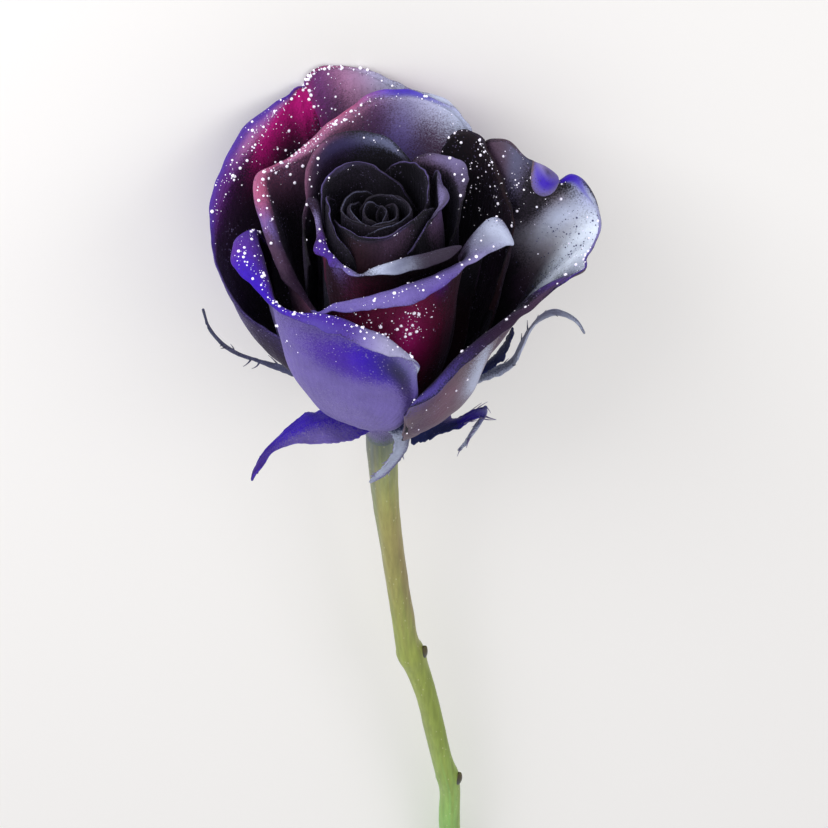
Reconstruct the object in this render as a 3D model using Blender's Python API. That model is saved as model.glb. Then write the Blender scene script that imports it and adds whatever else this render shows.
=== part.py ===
"""A preserved rose, cut with a short stem and lying on its back petals and the end of its stem.

The flower is drawn upright, in millimetres: the bloom's base at the origin, its axis up +Z and the side that is
seen from the front at -Y. An azimuth is measured round the axis from the front, positive to the right.
One empty, "flower", then lays it down: +Y runs from the cut end to the bloom, and +Z is up from the surface.
"""

import math

import bmesh
import bpy
import numpy as np
from mathutils import Matrix, Vector

MM = 0.001

# How the flower lies: the tilt of its axis, its turn round that axis, and where the bloom's base is
AXIS_TILT = 7.9
AXIS_TURN = -10.0
BASE_AT = (-3.5, 45.7, 19.65)

# The back petal's edge is pressed where the flower lies on it. The patch's middle across the flower, its half width,
# and how far its middle stays clear, so that the flower rests on the sides of the patch and doesn't rock
REST_MIDDLE = -8.75
REST_HALF_WIDTH = 4.2
REST_DISH = 0.03

# Petals: the blade, and how it springs from the receptacle
BLADE = 0.7
CLAW_SHARE = 0.32
FOOT_HEIGHT = 7.0
EDGE_LEAST = 0.4

# The core of the bloom: radius and height of its outline, from the receptacle to the furled centre
CORE_SIDES = 20
CORE_OUTLINE = [(5.6, 6.3), (6.2, 7.6), (5.8, 10.5), (4.5, 14.0), (2.8, 20.0), (1.3, 30.0), (0.8, 43.0)]

# Receptacle, and the five sepals round it. A sepal's spine point is azimuth, radius, height and half width.
HIP_SIDES = 20
HIP_OUTLINE = [(2.95, -2.2), (3.05, -0.4), (3.6, 1.4), (4.7, 3.2), (5.4, 4.8), (5.4, 6.0)]
SEPAL_KEEL = 0.35
SEPALS = {
    "front_left": [
        (-58, 3.2, 4.2, 3.4), (-60, 8.5, 5.0, 4.4), (-60, 13.0, 5.4, 4.5), (-62, 17.5, 4.6, 2.9),
        (-63, 21.0, 3.2, 1.5), (-64, 23.4, 1.2, 0.9), (-64, 24.8, -1.6, 0.8), (-64, 25.2, -3.0, 0.25),
    ],
    "front": [
        (44, 3.2, 4.0, 2.4), (42, 6.4, 3.6, 2.3), (36, 7.6, 0.4, 1.8), (20, 7.0, -3.6, 1.4),
        (-6, 6.2, -6.9, 0.9), (-24, 6.0, -9.0, 0.25),
    ],
    "right": [
        (78, 3.2, 4.2, 3.4), (76, 7.0, 4.2, 4.0), (74, 10.5, 4.2, 3.4), (74, 14.0, 6.2, 1.9), (75, 17.0, 9.0, 1.5),
        (77, 18.6, 8.8, 1.3), (76, 17.8, 5.4, 1.1), (73, 15.8, 1.4, 0.8), (71, 14.2, -1.6, 0.25),
    ],
    "right_back": [
        (122, 3.2, 4.2, 3.2), (116, 10.0, 4.6, 3.6), (110, 18.0, 6.0, 2.6), (106, 23.5, 9.0, 1.6),
        (104, 25.4, 14.0, 1.1), (101, 27.0, 19.0, 1.0), (97, 28.8, 23.0, 1.0), (91, 31.2, 25.4, 0.8),
        (89, 34.2, 23.4, 0.25),
    ],
    "left_back": [
        (-128, 3.2, 4.2, 3.2), (-122, 10.0, 4.4, 3.4), (-117, 17.0, 4.8, 2.6), (-113, 22.5, 6.2, 1.5),
        (-106, 26.2, 10.5, 1.0), (-101, 28.2, 15.0, 0.9), (-98, 29.8, 19.5, 0.7), (-97, 30.4, 23.0, 0.25),
    ],
}

# Stem: x, y and z of its line, and its radius. The two leaf joints seen in the view are swellings, and two more follow.
STEM_SIDES = 12
STEM_LINE = [
    (0.0, 0.0, -2.7, 2.9), (0.2, 0.0, -9.0, 2.75), (1.1, 0.0, -22.0, 2.7), (2.6, 0.0, -38.0, 2.55),
    (4.2, 0.0, -54.0, 2.55), (4.9, 0.0, -59.5, 2.75), (5.2, 0.0, -61.8, 2.95), (5.7, 0.0, -64.5, 2.7),
    (7.2, -0.2, -74.5, 2.55), (9.6, -0.3, -86.0, 2.55), (12.0, -0.5, -96.0, 2.7), (12.9, -0.5, -99.6, 2.95),
    (13.1, -0.5, -102.6, 2.6), (13.0, -0.6, -112.0, 2.5), (13.6, -0.8, -128.0, 2.5), (14.2, -0.9, -134.5, 2.85),
    (14.6, -1.0, -137.5, 2.55), (16.2, -1.0, -152.0, 2.55),
]

# Buds in the leaf joints: place along the stem, azimuth, and their rings as distance out from the stem's line and radius
BUDS = [(-60.6, 84.0), (-98.4, 78.0), (-133.4, -96.0)]
BUD_SIDES = 8
BUD_RISE = 40.0
BUD_OUTLINE = [(1.0, 0.9), (2.6, 1.05), (3.6, 0.85), (4.4, 0.5), (5.0, 0.2)]

# Each petal: where its foot stands, how far it bellies out, how tightly its edge rolls, and its rim.
# A rim point is azimuth, radius and height of the edge, its lean out from upright, and how far it is rolled back.
GUARD_PETALS = {
    "left": dict(
        facing=-118, foot=5.0, belly=16, lift=2.5, curl=2.2, grid=(15, 9),
        rim=[
            (-72, 16, 17, 10, 0), (-78, 20.5, 21, 20, 0), (-84, 25, 28, 20, 0), (-92, 27.6, 38, 15, 0),
            (-101, 28.2, 43.5, 15, 20), (-109, 29, 45.5, 20, 50), (-118, 26.2, 47.5, 15, 110),
            (-130, 24.2, 50.2, 10, 140), (-144, 24.2, 52.4, 10, 140), (-154, 26.8, 54.6, 25, 70),
            (-162, 26, 51.5, 15, 10), (-167, 24, 42, 5, 0),
        ],
    ),
    "back": dict(
        facing=180, foot=5.4, belly=18, lift=2.5, curl=2.0, grid=(14, 9),
        rim=[
            (-138, 26, 38, 5, 0), (-150, 28.5, 49, 15, 0), (-160, 29.3, 54.6, 20, 10), (-168, 28.6, 55.8, 20, 20),
            (-184, 26, 55.6, 10, 30), (-199, 24.4, 54.5, 10, 40), (-211, 24.8, 52, 15, 80), (-220, 24.8, 46, 15, 30),
            (-229, 24, 36, 5, 0),
        ],
    ),
    "right": dict(
        facing=80, foot=5.2, belly=17, lift=2.5, curl=1.8, grid=(16, 9),
        rim=[
            (141, 22, 40, 10, 0), (134, 24.5, 48.5, 15, 0), (129, 28.5, 48.5, 30, 10), (119, 28.5, 46.5, 45, 60),
            (111, 33.5, 44.5, 55, 70), (103, 35.3, 42.5, 55, 40), (95, 35, 39.5, 55, 20), (87, 32, 37.5, 40, 20),
            (73, 25.3, 36.5, 15, 50), (60, 21.6, 33.6, 0, 60), (46, 19.6, 30, -8, 80), (32, 18, 26, -8, 90),
            (20, 16.6, 21.5, -5, 70), (12, 14.6, 15.5, 0, 0),
        ],
    ),
    "front": dict(
        facing=-32, foot=5.2, belly=12, lift=3.0, curl=2.0, grid=(16, 9),
        rim=[
            (-100, 18.5, 38, -5, 20), (-92, 20.5, 45, 5, 60), (-84, 22.6, 44, 15, 110), (-76, 22, 42, 10, 100),
            (-64, 21, 41.5, 0, 80), (-50, 20, 42, -5, 90), (-34, 19.4, 42.3, -8, 130), (-17, 18.6, 41.3, -8, 160),
            (0, 18.6, 39, -8, 160), (13, 19.6, 35.5, 0, 120), (21, 20.4, 32.8, 10, 30), (27, 17.6, 25, 0, 0),
        ],
    ),
}

MIDDLE_PETALS = {
    "mauve": dict(
        facing=-150, foot=4.8, belly=13, curl=1.8, grid=(16, 8),
        rim=[
            (-50, 13.5, 34, 0, 40), (-64, 14.2, 36.5, 5, 80), (-80, 15.2, 40, 10, 100), (-98, 17.2, 45.5, 15, 110),
            (-111, 19.4, 49.2, 20, 90), (-119, 19.4, 50.6, 20, 60), (-131, 17.6, 51.6, 10, 100),
            (-150, 18.2, 52.2, 5, 120), (-172, 20.6, 53.4, 5, 90), (-192, 22.6, 53.6, 10, 70),
            (-208, 23, 51.8, 15, 50), (-221, 22, 45.5, 5, 10),
        ],
    ),
    "dark_right": dict(
        facing=112, foot=4.8, belly=13, curl=1.6, grid=(12, 8),
        rim=[
            (152, 17.5, 44, 0, 0), (149, 20, 49, 5, 10), (143, 21.6, 50, 15, 20), (134, 21.8, 48.2, 15, 20),
            (118, 20.6, 46, 10, 20), (98, 20, 44, 5, 10), (82, 19.4, 40, 0, 0), (66, 17.6, 33, 0, 0),
        ],
    ),
    "front_inner": dict(
        facing=22, foot=4.6, belly=10, curl=2.0, grid=(15, 8),
        rim=[
            (-42, 15.5, 35, 0, 20), (-32, 15.8, 39.5, 5, 70), (-16, 14.4, 42, 0, 130), (10, 14, 43.3, 0, 140),
            (34, 14.6, 44.2, 5, 140), (56, 15.8, 44.6, 10, 120), (76, 17.6, 46.2, 30, 80), (90, 17.8, 46.8, 30, 50),
            (100, 16.6, 42, 10, 0),
        ],
    ),
}

HEART_PETALS = {
    "collar": dict(
        facing=-14, foot=4.2, belly=9, curl=1.4, grid=(12, 6),
        rim=[
            (-104, 10.5, 46, 0, 0), (-92, 12, 49.5, 15, 20), (-75, 11.2, 48.5, 5, 60), (-52, 11.5, 47, 5, 90),
            (-30, 12, 46, 10, 60), (-12, 11.8, 45, 5, 60), (16, 11, 45, 5, 110), (44, 12, 46, 10, 120),
            (62, 13, 45.5, 5, 60), (72, 12.5, 40, 0, 0),
        ],
    ),
    "heart_back": dict(
        facing=-142, foot=4.0, belly=9, curl=1.3, grid=(12, 6),
        rim=[
            (-62, 12.5, 42, -5, 0), (-82, 12.8, 47, 0, 20), (-104, 13, 50, 5, 40), (-130, 14.8, 52.5, 5, 60),
            (-158, 14.5, 53, 0, 60), (-184, 12.5, 52, -5, 30), (-204, 11.5, 49, -5, 0), (-216, 11, 42, -5, 0),
        ],
    ),
    "heart_right": dict(
        facing=112, foot=4.0, belly=9, curl=1.2, grid=(11, 6),
        rim=[
            (168, 9.5, 49, 0, 0), (155, 11.5, 51.5, 5, 20), (140, 13.2, 51.5, 5, 50), (124, 14.5, 51, 5, 60),
            (106, 14.5, 50.5, 5, 50), (88, 13.8, 49, 0, 20), (72, 12.8, 45, 0, 0), (60, 12, 38, 0, 0),
        ],
    ),
    "spear": dict(
        facing=62, foot=3.8, belly=6, curl=0.9, grid=(10, 6),
        rim=[
            (134, 10.3, 48, 0, 0), (123, 11.2, 52.5, 5, 20), (108, 10.2, 50.5, 0, 40), (92, 9.5, 49.5, 0, 30),
            (66, 9.2, 49, 0, 40), (42, 9.4, 48, 0, 60), (20, 9.8, 46.5, 0, 50), (6, 9.6, 41, 0, 0),
        ],
    ),
    "whorl_left": dict(
        facing=-128, foot=3.6, belly=5, curl=0.8, grid=(10, 6),
        rim=[
            (-52, 9.6, 45, 0, 0), (-70, 9.8, 49.5, 0, 10), (-100, 9.8, 51, 0, 30), (-130, 9.6, 52, 0, 40),
            (-160, 8, 52.3, -5, 20), (-190, 6.4, 51, -5, 0), (-204, 6, 46, -5, 0),
        ],
    ),
    "whorl_right": dict(
        facing=118, foot=3.6, belly=5, curl=0.8, grid=(10, 6),
        rim=[
            (176, 6, 49, -5, 0), (160, 7.2, 52.5, 0, 10), (140, 8.6, 52.5, 0, 20), (118, 8.8, 52, 0, 20),
            (96, 7.8, 50.5, -5, 10), (76, 7.6, 49, -5, 0), (60, 7.4, 43, 0, 0),
        ],
    ),
    "whorl_front": dict(
        facing=0, foot=3.4, belly=4, curl=0.8, grid=(10, 6),
        rim=[
            (-80, 7.6, 45, 0, 0), (-64, 8.4, 49.5, 0, 10), (-38, 8.4, 50, 0, 30), (-10, 8, 50, 0, 50),
            (20, 7.2, 50, 0, 40), (52, 6.4, 50, -5, 10), (72, 6, 45, -5, 0),
        ],
    ),
}

# The furled centre: petals wound on a tightening spiral, each inside the last
FURLED_COUNT = 4
FURLED_OUTER_RADIUS = 6.0
FURLED_STEP = 1.2
FURLED_TURN = 137.5
FURLED_FIRST_AZIMUTH = -96.0
FURLED_HALF_SPAN = 92.0
FURLED_HEIGHT = 50.3
FURLED_SINK = 0.5


def along(points, shares):
    """A smooth curve through the points, read at shares of its length. The first three columns are a place."""
    points = np.array(points, float)
    steps = np.linalg.norm(np.diff(points[:, :3], axis=0), axis=1)
    knots = np.concatenate([[0], np.cumsum(steps)]) / steps.sum()
    slopes = np.gradient(points, knots, axis=0)
    cell = np.clip(np.searchsorted(knots, shares, side="right") - 1, 0, len(knots) - 2)
    width = (knots[cell + 1] - knots[cell])[:, None]
    t = (np.asarray(shares) - knots[cell])[:, None] / width
    return (
        points[cell] * (2 * t**3 - 3 * t**2 + 1)
        + points[cell + 1] * (3 * t**2 - 2 * t**3)
        + slopes[cell] * width * (t**3 - 2 * t**2 + t)
        + slopes[cell + 1] * width * (t**3 - t**2)
    )


def round_the_axis(azimuth, radius, height):
    """Upright places from azimuth in radians, radius and height."""
    return np.stack([radius * np.sin(azimuth), -radius * np.cos(azimuth), height], axis=-1)


def unit(vectors):
    return vectors / np.maximum(np.linalg.norm(vectors, axis=-1, keepdims=True), 1e-9)


def petal_sheet(facing, foot, belly, curl, grid, rim, lift=1.5, foot_height=FOOT_HEIGHT):
    """The petal's middle surface, as rows of points from its foot to its rolled edge."""
    columns, rows = grid
    rim = np.array(rim, float)
    edge = np.column_stack([round_the_axis(np.radians(rim[:, 0]), rim[:, 1], rim[:, 2]), rim[:, 3:]])
    edge = along(edge, np.linspace(0, 1, columns))
    turned = math.radians(facing)
    azimuth = np.arctan2(edge[:, 0], -edge[:, 1])
    azimuth = turned + (azimuth - turned + math.pi) % (2 * math.pi) - math.pi
    radius = np.hypot(edge[:, 0], edge[:, 1])
    height = edge[:, 2]
    lean = np.radians(edge[:, 3])
    roll = np.radians(edge[:, 4])
    fullness = np.sqrt(np.clip((height - foot_height) / (height.max() - foot_height), 0, 1))
    reach = 0.38 * (height - foot_height)
    t = (np.linspace(0, 1, rows) ** 0.85)[:, None]
    start, out, up, end = (1 - t) ** 3, 3 * t * (1 - t) ** 2, 3 * t**2 * (1 - t), t**3
    r = start * foot + out * (foot + belly * fullness) + up * (radius - reach * np.sin(lean)) + end * radius
    h = start * foot_height + out * (foot_height + lift) + up * (height - reach * np.cos(lean)) + end * height
    opened = np.clip(t / 0.7, 0, 1)
    share = CLAW_SHARE + (1 - CLAW_SHARE) * opened * opened * (3 - 2 * opened)
    body = round_the_axis(turned + (azimuth - turned) * share, r, h)
    last = unit(body[-1] - body[-2])
    side = unit(np.gradient(body[-1], axis=0))
    outward = np.cross(side, last)
    outward *= np.sign((outward * round_the_axis(azimuth, 1.0, 0.0 * azimuth)).sum(axis=1))[:, None]
    onward = unit(last - (last * side).sum(axis=1)[:, None] * side)
    roll = np.maximum(roll, 0.01)
    bend = (curl * np.maximum(roll, EDGE_LEAST) / roll)[:, None]
    curled = [
        body[-1] + bend * (np.sin(turn)[:, None] * onward + (1 - np.cos(turn))[:, None] * unit(outward))
        for turn in (roll * k / 3 for k in (1, 2, 3))
    ]
    return np.concatenate([body, curled])


def furled_petals():
    """The centre's petals, by rule: each is turned on from the last, smaller and a little lower."""
    for k in range(FURLED_COUNT):
        facing = FURLED_FIRST_AZIMUTH + k * FURLED_TURN
        radius = FURLED_OUTER_RADIUS - k * FURLED_STEP
        top = FURLED_HEIGHT - k * FURLED_SINK
        rim = [
            (facing + side * FURLED_HALF_SPAN, radius * (1 - 0.16 * side), top - drop, -3, 0)
            for side, drop in ((-1, 6), (-0.8, 1.2), (-0.4, 0), (0, 0.3), (0.4, 0), (0.8, 1.2), (1, 6))
        ]
        yield dict(facing=facing, foot=3.2 - 0.4 * k, belly=1.2, curl=0.4, grid=(12, 5), rim=rim)


LAY_DOWN = (
    Matrix.Translation(Vector(BASE_AT))
    @ Matrix.Rotation(math.radians(AXIS_TILT - 90), 4, "X")
    @ Matrix.Rotation(math.radians(AXIS_TURN), 4, "Z")
)


def lifted_to_the_surface(points):
    """Upright points of a blade's middle surface, with those that would lie under the surface pressed up to it."""
    right, _, up = np.array(LAY_DOWN.to_3x3())
    side = np.clip(np.abs(points @ right + BASE_AT[0] - REST_MIDDLE) / REST_HALF_WIDTH, 0, 1)
    level = BLADE / 2 + REST_DISH * (1 - side**2)
    return points + np.maximum(level - (points @ up + BASE_AT[2]), 0)[:, None] * up


def new_object(name, points, faces, collection=None):
    """An object from points in millimetres."""
    mesh = bpy.data.meshes.new(name)
    mesh.from_pydata((np.asarray(points) * MM).tolist(), [], faces)
    obj = bpy.data.objects.new(name, mesh)
    (collection or bpy.context.scene.collection).objects.link(obj)
    return obj


def blade_object(name, sheet, collection):
    """A closed blade round a sheet. It is split into triangles first, so that both its faces split alike."""
    rows, columns = sheet.shape[:2]
    points = lifted_to_the_surface(sheet.reshape(-1, 3))
    cells = [(r * columns + c, r * columns + c + 1) for r in range(rows - 1) for c in range(columns - 1)]
    faces = [(a, b, b + columns) for a, b in cells] + [(a, b + columns, a + columns) for a, b in cells]
    obj = new_object(name, points, faces, collection)
    solid = obj.modifiers.new("blade", "SOLIDIFY")
    solid.thickness = BLADE * MM
    solid.offset = 0
    return obj


def tube_object(name, rings, collection=None):
    """A closed solid through rings of points, with a flat cap at each end."""
    count, sides = rings.shape[:2]
    faces = [
        (r * sides + k, r * sides + (k + 1) % sides, (r + 1) * sides + (k + 1) % sides, (r + 1) * sides + k)
        for r in range(count - 1)
        for k in range(sides)
    ]
    faces += [tuple(range(sides))[::-1], tuple(range((count - 1) * sides, count * sides))]
    return new_object(name, rings.reshape(-1, 3), faces, collection)


def turned_rings(outline, sides):
    """Rings round the axis, from an outline of radius and height."""
    azimuth = np.linspace(0, 2 * math.pi, sides, endpoint=False)
    return np.array([round_the_axis(azimuth, radius, height + 0 * azimuth) for radius, height in outline])


def drop_slivers(mesh):
    """Removes the loose specks that a union leaves beside its body."""
    shape = bmesh.new()
    shape.from_mesh(mesh)
    left = set(shape.verts)
    pieces = []
    while left:
        piece = {left.pop()}
        front = list(piece)
        while front:
            vertex = front.pop()
            near = {edge.other_vert(vertex) for edge in vertex.link_edges} - piece
            piece |= near
            front.extend(near)
        left -= piece
        pieces.append(piece)
    largest = max(pieces, key=len)
    bmesh.ops.delete(shape, geom=[v for piece in pieces if piece is not largest for v in piece], context="VERTS")
    shape.to_mesh(mesh)
    shape.free()


def joined(body, collection):
    """The body with the collection's solids fused to it. The collection and its objects are removed."""
    union = body.modifiers.new("join", "BOOLEAN")
    union.operation = "UNION"
    union.operand_type = "COLLECTION"
    union.collection = collection
    union.solver = "MANIFOLD"
    graph = bpy.context.evaluated_depsgraph_get()
    mesh = bpy.data.meshes.new_from_object(body.evaluated_get(graph))
    body.modifiers.clear()
    body.data = mesh
    drop_slivers(mesh)
    for obj in list(collection.objects):
        bpy.data.objects.remove(obj)
    bpy.data.collections.remove(collection)
    return body


def repeats_collection(name):
    collection = bpy.data.collections.new(name)
    bpy.context.scene.collection.children.link(collection)
    return collection


def make_bloom():
    """The whole flower head: every petal fused to the core that they spring from."""
    petals = repeats_collection("petals")
    for name, petal in {**GUARD_PETALS, **MIDDLE_PETALS, **HEART_PETALS}.items():
        blade_object(name, petal_sheet(**petal), petals)
    for petal in furled_petals():
        blade_object("furled", petal_sheet(**petal), petals)
    return joined(tube_object("bloom", turned_rings(CORE_OUTLINE, CORE_SIDES)), petals)


def sepal_sheet(spine, rows=9, columns=5):
    """A sepal's middle surface: a keeled strip along its spine."""
    spine = np.array(spine, float)
    line = np.column_stack([round_the_axis(np.radians(spine[:, 0]), spine[:, 1], spine[:, 2]), spine[:, 3]])
    line = along(line, np.linspace(0, 1, rows))
    place, half_width = line[:, :3], line[:, 3:]
    onward = unit(np.gradient(place, axis=0))
    azimuth = np.arctan2(place[:, 0], -place[:, 1])
    across = unit(np.stack([np.cos(azimuth), np.sin(azimuth), 0 * azimuth], axis=1))
    across = unit(across - (across * onward).sum(axis=1)[:, None] * onward)
    normal = np.cross(across, onward)
    return np.stack(
        [
            place + share * half_width * across + SEPAL_KEEL * abs(share) * half_width * normal
            for share in np.linspace(-1, 1, columns)
        ],
        axis=1,
    )


def make_calyx():
    """The receptacle with its five sepals."""
    sepals = repeats_collection("sepals")
    for name, spine in SEPALS.items():
        blade_object(name, sepal_sheet(spine), sepals)
    return joined(tube_object("calyx", turned_rings(HIP_OUTLINE, HIP_SIDES)), sepals)


def tube_round(line, sides):
    """Rings of points round a line of x, y, z and radius."""
    onward = unit(np.gradient(line[:, :3], axis=0))
    side = unit(np.cross(onward, (0, 1, 0)))
    front = np.cross(onward, side)
    turn = np.linspace(0, 2 * math.pi, sides, endpoint=False)[None, :, None]
    return line[:, None, :3] + line[:, None, 3:] * (np.cos(turn) * side[:, None] + np.sin(turn) * front[:, None])


def make_stem():
    """The stem, swollen at its leaf joints, with a bud in each, from the receptacle to the cut."""
    line = along(STEM_LINE, np.linspace(0, 1, 3 * len(STEM_LINE)))
    buds = repeats_collection("buds")
    for place, azimuth in BUDS:
        start = line[np.abs(line[:, 2] - place).argmin(), :3]
        rise = math.radians(BUD_RISE)
        outward = round_the_axis(np.radians(azimuth), math.cos(rise), math.sin(rise))
        rings = np.array([(*(start + reach * outward), radius) for reach, radius in BUD_OUTLINE])
        tube_object("bud", tube_round(rings, BUD_SIDES), buds)
    return joined(tube_object("stem", tube_round(line, STEM_SIDES)), buds)


def finish(obj, flower, colour, roughness):
    """Parents a solid to the flower and gives it its material and smooth shading, with its faces pointing out."""
    obj.parent = flower
    shape = bmesh.new()
    shape.from_mesh(obj.data)
    bmesh.ops.recalc_face_normals(shape, faces=shape.faces)
    shape.to_mesh(obj.data)
    shape.free()
    obj.data.shade_smooth()
    obj.data.set_sharp_from_angle(angle=math.radians(50))
    material = bpy.data.materials.new(obj.name)
    material.use_nodes = True
    shader = material.node_tree.nodes["Principled BSDF"]
    shader.inputs["Base Color"].default_value = (*colour, 1)
    shader.inputs["Roughness"].default_value = roughness
    obj.data.materials.clear()
    obj.data.materials.append(material)


for leftover in list(bpy.data.objects):
    bpy.data.objects.remove(leftover)
flower = bpy.data.objects.new("flower", None)
bpy.context.scene.collection.objects.link(flower)
flower.location = Vector(BASE_AT) * MM
flower.rotation_mode = "QUATERNION"
flower.rotation_quaternion = LAY_DOWN.to_quaternion()
finish(make_bloom(), flower, (0.09, 0.04, 0.16), 0.75)
finish(make_calyx(), flower, (0.07, 0.05, 0.32), 0.7)
finish(make_stem(), flower, (0.23, 0.28, 0.10), 0.55)
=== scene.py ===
# %% [markdown]
# # A preserved rose, airbrushed and glittered
#
# A florist keeps a real rose by replacing its sap with glycerine, which leaves the petals soft. It is then
# airbrushed with dyes and dusted with glitter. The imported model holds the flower's solids. This file dresses
# them: every petal, sepal and the stem is made again as a fine surface in the same place.

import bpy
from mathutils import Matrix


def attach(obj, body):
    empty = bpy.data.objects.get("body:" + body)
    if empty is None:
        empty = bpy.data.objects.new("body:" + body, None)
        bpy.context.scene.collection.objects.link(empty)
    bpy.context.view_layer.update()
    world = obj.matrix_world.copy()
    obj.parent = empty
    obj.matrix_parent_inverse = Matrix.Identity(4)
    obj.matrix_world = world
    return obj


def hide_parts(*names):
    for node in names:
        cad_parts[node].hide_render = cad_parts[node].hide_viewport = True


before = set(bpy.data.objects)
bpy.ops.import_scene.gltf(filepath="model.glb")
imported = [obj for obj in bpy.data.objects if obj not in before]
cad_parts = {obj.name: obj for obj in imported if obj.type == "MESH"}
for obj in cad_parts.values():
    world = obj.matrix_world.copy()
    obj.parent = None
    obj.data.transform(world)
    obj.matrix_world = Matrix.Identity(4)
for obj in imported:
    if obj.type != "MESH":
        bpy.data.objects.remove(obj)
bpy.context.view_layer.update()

# %% Modules and units
import math

import bmesh
import bpy
import numpy as np
from mathutils import Matrix, Vector

MM = 0.001
PER_MM = (1 / MM, 1 / MM, 1 / MM)

# %% [markdown]
# ## How the flower lies
#
# The flower is easiest to think about upright: its base at the origin, its axis up, the side seen in the
# photograph towards -Y. Places round the axis are then an azimuth, a radius and a height in millimetres. One
# matrix lays it down.

# %% Laying the flower down
AXIS_TILT = 7.9
AXIS_TURN = -10.0
BASE_AT = (-3.5, 45.7, 19.65)
LAY_DOWN = (
    Matrix.Translation(Vector(BASE_AT))
    @ Matrix.Rotation(math.radians(AXIS_TILT - 90), 4, "X")
    @ Matrix.Rotation(math.radians(AXIS_TURN), 4, "Z")
)
LAY_TURN = np.array(LAY_DOWN.to_3x3())
LAY_SHIFT = np.array(LAY_DOWN.translation)


def laid_down(points):
    """Upright places in millimetres, as places in the model's frame in metres."""
    return (np.asarray(points, float) @ LAY_TURN.T + LAY_SHIFT) * MM


def upright(points):
    """The way back: places in the model's frame in metres, as upright places in millimetres."""
    return (points / MM - LAY_SHIFT) @ LAY_TURN


def round_the_axis(azimuth, radius, height):
    """Upright places from an azimuth in radians, a radius and a height."""
    return np.stack([radius * np.sin(azimuth), -radius * np.cos(azimuth), height], axis=-1)


# %% [markdown]
# ## Camera
#
# The photograph looks into the bloom from 45 degrees above its cross plane, from about 45 centimetres. The
# camera keeps that place against the flower, so on the lying rose it looks down from beyond the bloom.

# %% Camera
EYE = (5.6, -331.8, 334.6)
EYE_ELEVATION = 45.0
LENS = 117.4
SENSOR = 36.0
NEAREST_SEEN = 0.02

bpy.ops.object.camera_add()
camera = bpy.context.object
camera.name = "camera"
camera.data.sensor_width = SENSOR
camera.data.lens = LENS
camera.data.clip_start = NEAREST_SEEN
tipped = Matrix.Rotation(math.radians(90 - EYE_ELEVATION), 4, "X")
looking = LAY_DOWN @ Matrix.Translation(Vector(EYE)) @ tipped
looking.translation = looking.translation * MM
camera.matrix_world = looking
bpy.context.scene.camera = camera
print("camera at", tuple(round(x, 3) for x in camera.location))

# %% [markdown]
# ## Floor and light
#
# A studio sweep is a large pale sheet, lit so evenly that it reads as white. A world that is white all over
# gives the soft fill between the petals, and two large softboxes give the petals their shape: the key stands
# to the upper left of the picture, and a weaker one opposite keeps the right side from going flat.

# %% Floor
FLOOR_SIDE = 6.0


def srgb(code):
    """Linear colour from an sRGB hex value."""
    parts = [int(code[k : k + 2], 16) / 255 for k in (0, 2, 4)]
    return tuple(p / 12.92 if p <= 0.04045 else ((p + 0.055) / 1.055) ** 2.4 for p in parts)


def opaque(code):
    return (*srgb(code), 1)


def new_material(name):
    """A material with its shader and its output."""
    material = bpy.data.materials.new(name)
    material.use_nodes = True
    return material, material.node_tree.nodes["Principled BSDF"]


def feed(node, inputs):
    """Sets inputs to values, or links them to sockets. A whole node stands for its first socket in use."""
    for key, value in inputs.items():
        if isinstance(value, bpy.types.Node):
            value = next(socket for socket in value.outputs if socket.enabled)
        if isinstance(value, bpy.types.NodeSocket):
            node.id_data.links.new(value, node.inputs[key])
        else:
            node.inputs[key].default_value = value


bpy.ops.mesh.primitive_plane_add(size=FLOOR_SIDE)
floor = bpy.context.object
floor.name = "floor"
# Matt paper scatters the light evenly, so the sweep shows no reflection
paper, shader = new_material("matt_white_paper")
feed(shader, {"Base Color": opaque("F4F2F1"), "Roughness": 0.9})
floor.data.materials.append(paper)

# %% Lights
FILL = 0.78
KEY_WATTS = 0.95
RIM_WATTS = 0.22
BLOOM_MIDDLE = (0, 0, 32)

world = bpy.data.worlds.new("white_studio")
world.use_nodes = True
feed(world.node_tree.nodes["Background"], {"Color": opaque("FFFFFF"), "Strength": FILL})
bpy.context.scene.world = world
bpy.context.scene.view_settings.view_transform = "Standard"


def softbox(name, upright_place, side, watts):
    """A square area light aimed at the bloom, at a place beside the upright flower."""
    bpy.ops.object.light_add(type="AREA")
    lamp = bpy.context.object
    lamp.name = name
    lamp.data.size = side * MM
    lamp.data.energy = watts
    place, aim = (Vector(point) for point in laid_down([upright_place, BLOOM_MIDDLE]))
    lamp.location = place
    lamp.rotation_mode = "QUATERNION"
    lamp.rotation_quaternion = (place - aim).to_track_quat("Z", "Y")


softbox("key_softbox", (-230, -170, 330), 260, KEY_WATTS)
softbox("rim_softbox", (330, -220, 160), 220, RIM_WATTS)

# %% [markdown]
# ## Dyes
#
# An airbrush leaves soft clouds of colour, one over another. Each petal face therefore has a base colour and
# a list of sprays. A spray has a place across the petal and along it, from foot to edge, a reach each way, a
# dye and a strength, all in percent. The clouds are warped a little, because the spray drifts and the petal
# soaks it up unevenly.

# %% Dyes and the airbrush
SPRAY_DRIFT = 0.03
DRIFT_COARSEST = 0.6
DRIFT_PEAK = 1.6

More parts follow.
